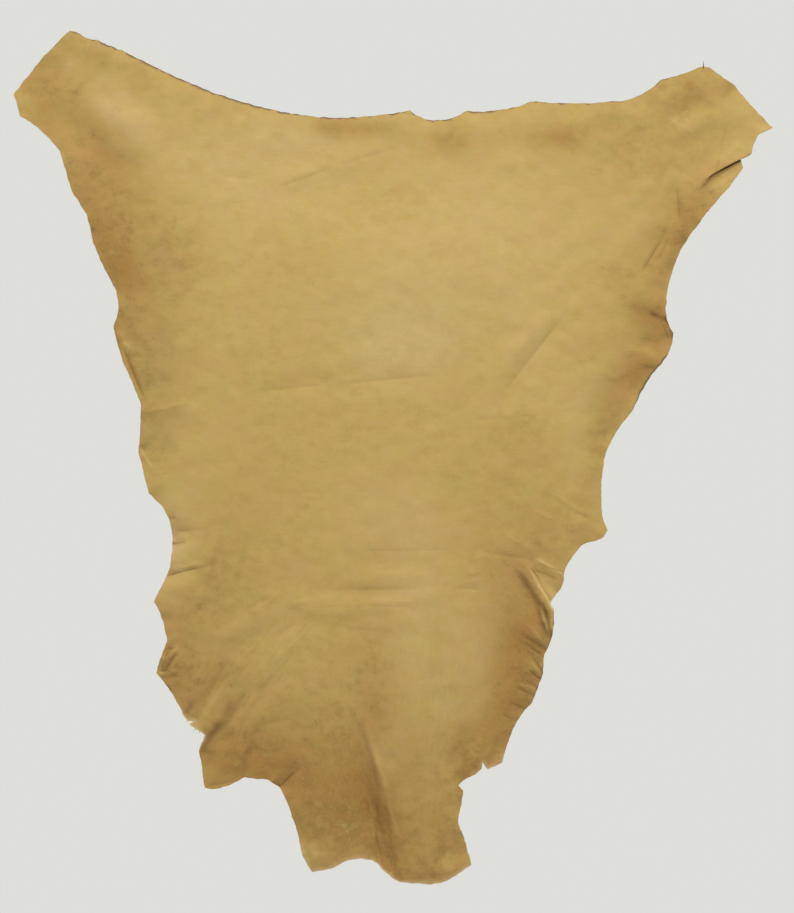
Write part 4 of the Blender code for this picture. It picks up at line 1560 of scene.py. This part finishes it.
    def _keep_numbers(self, data: bpy.types.Mesh, places: Places) -> None:
        """Keeps the tone, rust, olive, edge tone, fibre lay, painted shade and painted highlight
        numbers at the points, and a flat map.

        Args:
            data: the skin's mesh.
            places: the flat places of its points.
        """
        count = len(self.edge)
        tables = {"tone": TONES, "rust": RUSTS, "olive": OLIVES, "edge_tone": EDGE_TONES,
                  **{lay.name.lower(): table for lay, table in LAYS.items()}}
        numbers = {name: covered(places, table) for name, table in tables.items()}
        low, high = self.patchiness
        numbers["patchy"] = np.clip(1.5 * numbers["rust"] - 0.6 * numbers["tone"], low, high)
        # Painted shadow under the pleat's flap, painted shade in the creases' grooves and painted
        # highlights on their ridges.
        numbers["shade"] = self.pleat_shade * self.pleat.shade(places)
        numbers["painted_highlight_and_pale_marks"] = np.zeros(len(places))
        for crease in CREASES:
            name = "shade" if crease.tint < 0.0 else "painted_highlight_and_pale_marks"
            numbers[name] += abs(crease.tint) * crease.profile(places)
        away, _ = nearest(places, self.edge)
        # Whole on the edge, weaker on the first row inside it, nothing beyond.
        numbers["edge_line"] = np.select([away < 0.5, away < 1.2 * self.inset], [1.0, 0.45])
        for name, values in numbers.items():
            every = np.concatenate([values, values, values[:count]])
            data.attributes.new(name, "FLOAT", "POINT").data.foreach_set(
                "value", every.astype(np.float32))
        corners = np.zeros(len(data.loops), dtype=int)
        data.loops.foreach_get("vertex_index", corners)
        every = np.concatenate([places, places, places[:count]])
        spread = (every + self.map_start) / self.map_size
        data.uv_layers.new(name="flat").data.foreach_set(
            "uv", spread[corners].astype(np.float32).ravel())


# --- Fibres and threads of the edge ---

class GeometrySheet(NodeSheet):
    """A Geometry Nodes tree with named inputs, baked into a plain mesh."""

    def __init__(self, name: str) -> None:
        """Starts a tree that takes and gives geometry.

        Args:
            name: the tree's name.
        """
        super().__init__(bpy.data.node_groups.new(name, "GeometryNodeTree"))
        for way in ("INPUT", "OUTPUT"):
            self.tree.interface.new_socket("Geometry", in_out=way,
                                           socket_type="NodeSocketGeometry")
        self.start = self.node("NodeGroupInput")
        self.values: dict[str, object] = {}

    def input(self, name: str, value: float, kind: str = "NodeSocketFloat") -> Value:
        """Adds a named input.

        Args:
            name: its name.
            value: its value.
            kind: its socket's type.

        Returns:
            The input, as a number of the tree.
        """
        item = self.tree.interface.new_socket(name, in_out="INPUT", socket_type=kind)
        self.values[item.identifier] = value
        return Value(self, self.start.outputs[name])

    def spot(self, sockets: Mapping[int, object]) -> bpy.types.NodeSocket:
        """Returns a vector from its parts: 0, 1 and 2 for X, Y and Z."""
        return self.node("ShaderNodeCombineXYZ", {}, sockets).outputs[0]

    def bake(self, carrier: bpy.types.Object, instances: bpy.types.NodeSocket,
             material: bpy.types.Material, name: str) -> bpy.types.Object:
        """Ends the tree, runs it on an object and keeps the result as a mesh.

        Args:
            carrier: the object that the tree works on, removed afterwards.
            instances: what the tree has made.
            material: the finish of the result.
            name: the name of the new piece.

        Returns:
            The piece.
        """
        real = self.node("GeometryNodeRealizeInstances", {}, {"Geometry": instances})
        dressed = self.node("GeometryNodeSetMaterial", {},
                            {"Geometry": real.outputs[0], "Material": material})
        self.node("NodeGroupOutput", {}, {0: dressed.outputs[0]})
        modifier = carrier.modifiers.new(name, "NODES")
        modifier.node_group = self.tree
        for identifier, value in self.values.items():
            modifier[identifier] = value
        depsgraph = bpy.context.evaluated_depsgraph_get()
        data = bpy.data.meshes.new_from_object(carrier.evaluated_get(depsgraph))
        data.name = name
        carrier.modifiers.remove(modifier)
        bpy.data.objects.remove(carrier)
        return added(name, data)


@dataclass
class EdgeFibres:
    """The short fibres that stand out of the cut edge.

    Attributes:
        per_square_cm: how many stand on a square centimetre of the cut.
        length: their usual length, and width their width at the root.
        lean: how far they lean from straight out, in degrees.
        twist: how far they may turn about themselves, in radians.
        shortest: the least share of the usual length, and longest the greatest.
        bend: how far the tip bends over, and bend_from how far up, as shares of the length.
        taper: the share of the width that is lost at the tip.
    """

    skin: bpy.types.Object
    per_square_cm: float = 26.0
    length: float = 1.5
    width: float = 0.11
    lean: float = 62.0
    twist: float = 6.28
    shortest: float = 0.35
    longest: float = 1.9
    bend: float = 0.35
    bend_from: float = 0.55
    taper: float = 0.8
    seed: int = 12

    def build(self) -> bpy.types.Object:
        """Makes the fibres by Geometry Nodes.

        Returns:
            The finished piece.
        """
        sheet = GeometrySheet("edge_fibres")
        density = sheet.input("Density", self.per_square_cm * 1e4)
        length = sheet.input("Length", self.length * MM)
        width = sheet.input("Width", 0.5 * self.width * MM)
        lean = sheet.input("Lean", math.radians(self.lean))
        seed = sheet.input("Seed", self.seed, "NodeSocketInt")
        spots = sheet.node("GeometryNodeDistributePointsOnFaces", {"distribute_method": "RANDOM"},
                           {"Mesh": sheet.start.outputs["Geometry"], "Density": density,
                            "Seed": seed})
        back = lean * -1.0
        tilt = sheet.node("FunctionNodeRandomValue", {"data_type": "FLOAT_VECTOR"},
                          {0: sheet.spot({0: back, 1: back}),
                           1: sheet.spot({0: lean, 1: lean, 2: self.twist}), "Seed": seed})
        turned = sheet.node("FunctionNodeRotateRotation", {"rotation_space": "LOCAL"},
                            {"Rotation": spots.outputs["Rotation"],
                             "Rotate By": tilt.outputs[0]})
        size = sheet.node("FunctionNodeRandomValue", {"data_type": "FLOAT"},
                          {2: self.shortest, 3: self.longest, "Seed": seed})
        placed = sheet.node("GeometryNodeInstanceOnPoints", {},
                            {"Points": spots.outputs["Points"],
                             "Instance": self._fibre(sheet, length, width),
                             "Rotation": turned.outputs[0], "Scale": size.outputs[1]})
        return sheet.bake(self._cut_faces(), placed.outputs[0], FibreFinish().build(),
                          "edge_fibres")

    def _fibre(self, sheet: GeometrySheet, length: Value,
               width: Value) -> bpy.types.NodeSocket:
        """Adds the nodes of one bent, tapered fibre.

        Args:
            sheet: the tree.
            length: the fibre's length.
            width: half its width at the root.

        Returns:
            The fibre, which stands up from the origin.
        """
        bend = sheet.node("GeometryNodeCurveQuadraticBezier", {},
                          {"Resolution": 3, "Start": (0.0, 0.0, 0.0),
                           "Middle": sheet.spot({2: length * self.bend_from}),
                           "End": sheet.spot({0: length * self.bend, 2: length})})
        along = Value(sheet, sheet.node("GeometryNodeSplineParameter").outputs["Factor"])
        thin = sheet.node("GeometryNodeSetCurveRadius", {},
                          {"Curve": bend.outputs[0], "Radius": 1.0 - along * self.taper})
        section = sheet.node("GeometryNodeCurvePrimitiveCircle", {},
                             {"Resolution": 3, "Radius": width})
        tube = sheet.node("GeometryNodeCurveToMesh", {},
                          {"Curve": thin.outputs[0], "Profile Curve": section.outputs[0],
                           "Fill Caps": True})
        return tube.outputs[0]

    def _cut_faces(self) -> bpy.types.Object:
        """Copies the skin's cut edge.

        Returns:
            The copy, an object of its own.
        """
        form = bmesh.new()
        form.from_mesh(self.skin.data)
        others = [face for face in form.faces if face.material_index != Side.CUT.value]
        bmesh.ops.delete(form, geom=others, context="FACES")
        return added("cut_faces", mesh_of("cut_faces", form))


class Thread(NamedTuple):
    """One loose thread or torn sliver of the edge.

    Attributes:
        turn: the way it leaves the edge, in degrees over the level.
        curl: how far it turns from root to tip, in degrees.
    """

    x: float
    z: float
    length: float
    width: float
    turn: float
    curl: float


@dataclass
class LooseThreads:
    """The few longer threads and torn slivers that hang at the edge.

    Attributes:
        rings: how many rings of points make a thread, and sides how many points a ring has.
        taper: the share of the width that is lost at the tip.
        swing: how far a thread swings to the front of its root, as a share of its length.
    """

    skin: bpy.types.Object
    rings: int = 9
    sides: int = 6
    taper: float = 0.85
    swing: float = 0.25
    threads: tuple[Thread, ...] = tuple(Thread(*row) for row in (
        (468, 71, 12, 2.4, 84, 16), (570, -17, 4.5, 1, -20, 40),
        (-454, -182, 6, 0.6, 200, 50), (-451, -188, 4.5, 0.5, 170, -40),
        (-305, -909, 7, 1.1, 215, 30), (-300, -918, 5.5, 0.9, 240, -35),
        (-296, -926, 6.5, 1, 205, 45), (-293, -932, 4.5, 0.8, 250, 20),
        (356, -444, 6.5, 0.6, -70, 30), (352, -450, 5, 0.5, -20, -40)))

    def build(self) -> bpy.types.Object:
        """Makes the threads as tapered, curling tubes.

        Returns:
            The finished piece.
        """
        spots = np.array([vertex.co for vertex in self.skin.data.vertices])
        _, found = nearest(np.array([(thread.x, thread.z) for thread in self.threads]) * MM,
                           spots[:, [0, 2]])
        form = bmesh.new()
        for thread, index in zip(self.threads, found):
            self._tube(form, thread, Vector(spots[index]))
        bmesh.ops.recalc_face_normals(form, faces=form.faces)
        data = mesh_of("loose_threads", form)
        data.shade_smooth()
        finish = FibreFinish("tan_leather_thread", (0.120, 0.075, 0.038), (0.400, 0.290, 0.150))
        data.materials.append(finish.build())
        return added("loose_threads", data)

    def _tube(self, form: bmesh.types.BMesh, thread: Thread, root: Vector) -> None:
        """Adds one thread to the form.

        Args:
            form: the form.
            thread: its sizes.
            root: its root on the skin.
        """
        spot, rings = root, []
        for ring in range(self.rings):
            share = ring / (self.rings - 1)
            angle = math.radians(thread.turn + thread.curl * share)
            way = Vector((math.cos(angle), -self.swing * math.sin(3.0 * share),
                          math.sin(angle)))
            side = Vector((-math.sin(angle), 0.0, math.cos(angle)))
            radius = 0.5 * thread.width * (1.0 - self.taper * share) * MM
            rings.append([form.verts.new(spot + radius * (math.cos(turn) * side
                                                          + math.sin(turn) * Vector((0, 1, 0))))
                          for turn in np.linspace(0.0, 2.0 * math.pi, self.sides, endpoint=False)])
            spot = spot + way * (thread.length * MM / self.rings)
        for lower, upper in zip(rings, rings[1:]):
            for this in range(self.sides):
                after = (this + 1) % self.sides
                form.faces.new((lower[this], lower[after], upper[after], upper[this]))
        for end in (rings[0], rings[-1]):
            form.faces.new(end)


# --- The studio ---

class Lamp(NamedTuple):
    """One soft area lamp, in metres and watts, aimed at a point."""

    name: str
    place: tuple[float, float, float]
    aim: tuple[float, float, float]
    width: float
    height: float
    power: float
    colour: Colour


@dataclass
class Studio:
    """The pale floor, soft light, plain surround and camera.

    Attributes:
        middle: the point that the camera looks at, level, in metres.
        distance: how far in front of it the camera stands.
        frame_height: the height of the view at the hide.
        floor_level: the height of the floor, and floor_reach its radius.
        surround: the colour of the plain surround, and dimness how much of it lights the hide.
    """

    middle: tuple[float, float, float] = (0.006, 0.0, -0.515)
    distance: float = 4.5
    frame_height: float = 1.3695
    floor_level: float = -1.75
    floor_reach: float = 2.3
    surround: Colour = (0.735, 0.735, 0.705)
    dimness: float = 0.50
    lamps: tuple[Lamp, ...] = (
        Lamp("key", (0.45, -4.5, 4.7), (0.0, 0.0, -0.5), 2.6, 1.8, 466.0, (1.0, 0.985, 0.96)),
        Lamp("back", (-1.2, 4.6, 4.4), (0.0, 0.0, -0.5), 2.6, 1.8, 330.0, (1.0, 0.985, 0.96)),
    )

    def build(self) -> None:
        """Sets up everything around the hide."""
        self._floor()
        for lamp in self.lamps:
            self._lamp(lamp)
        self._world()
        self._camera()

    def _floor(self) -> None:
        """Lays the round floor."""
        form = bmesh.new()
        bmesh.ops.create_circle(form, cap_ends=True, segments=96, radius=self.floor_reach)
        bmesh.ops.translate(form, verts=form.verts, vec=(0.0, 0.0, self.floor_level))
        data = mesh_of("studio_floor", form)
        data.materials.append(FloorFinish().build())
        added("studio_floor", data)

    @staticmethod
    def _lamp(lamp: Lamp) -> None:
        """Hangs one lamp.

        Args:
            lamp: its place, aim, size and light.
        """
        light = bpy.data.lights.new(lamp.name, "AREA")
        light.shape = "RECTANGLE"
        light.size, light.size_y = lamp.width, lamp.height
        light.energy, light.color = lamp.power, lamp.colour
        holder = added(lamp.name, light)
        holder.location = lamp.place
        aim = Vector(lamp.aim) - Vector(lamp.place)
        holder.rotation_euler = aim.to_track_quat("-Z", "Y").to_euler()

    def _world(self) -> None:
        """Lights the surround evenly, and the hide by a dimmer share of it."""
        world = bpy.data.worlds.new("studio")
        world.use_nodes = True
        sheet = NodeSheet(world.node_tree)
        colour = (*self.surround, 1.0)
        seen, cast = (sheet.node("ShaderNodeBackground", {}, {"Color": colour, "Strength": power})
                      for power in (1.0, self.dimness))
        path = sheet.node("ShaderNodeLightPath")
        pick = sheet.node("ShaderNodeMixShader", {},
                          {0: path.outputs["Is Camera Ray"], 1: cast.outputs[0],
                           2: seen.outputs[0]})
        sheet.node("ShaderNodeOutputWorld", {}, {"Surface": pick.outputs[0]})
        bpy.context.scene.world = world
        bpy.context.scene.view_settings.view_transform = "Standard"

    def _camera(self) -> None:
        """Stands the camera square in front of the hide."""
        lens = bpy.data.cameras.new("camera")
        lens.sensor_fit = "VERTICAL"
        lens.sensor_height = 24.0
        lens.lens = lens.sensor_height * self.distance / self.frame_height
        camera = added("camera", lens)
        camera.location = Vector(self.middle) - Vector((0.0, self.distance, 0.0))
        camera.rotation_euler = (math.radians(90.0), 0.0, 0.0)
        bpy.context.scene.camera = camera


def place(piece: bpy.types.Object) -> None:
    """Makes a piece ride with the hide in its leather, and reports it.

    Args:
        piece: the finished piece.
    """
    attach(piece, "root")
    piece.data.calc_loop_triangles()
    log.info("%s: %d triangles", piece.name, len(piece.data.loop_triangles))


def main() -> None:
    """Builds the hide and its studio in order."""
    logging.basicConfig(level=logging.INFO, format="%(name)s: %(message)s")
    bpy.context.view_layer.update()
    Studio().build()
    skin = Skin(SolidForm.of(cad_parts["hide"]), Pleat()).build()
    place(skin)
    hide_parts("hide")
    fibres = EdgeFibres(skin).build()
    place(fibres)
    threads = LooseThreads(skin).build()
    place(threads)


if __name__ == "__main__":
    main()
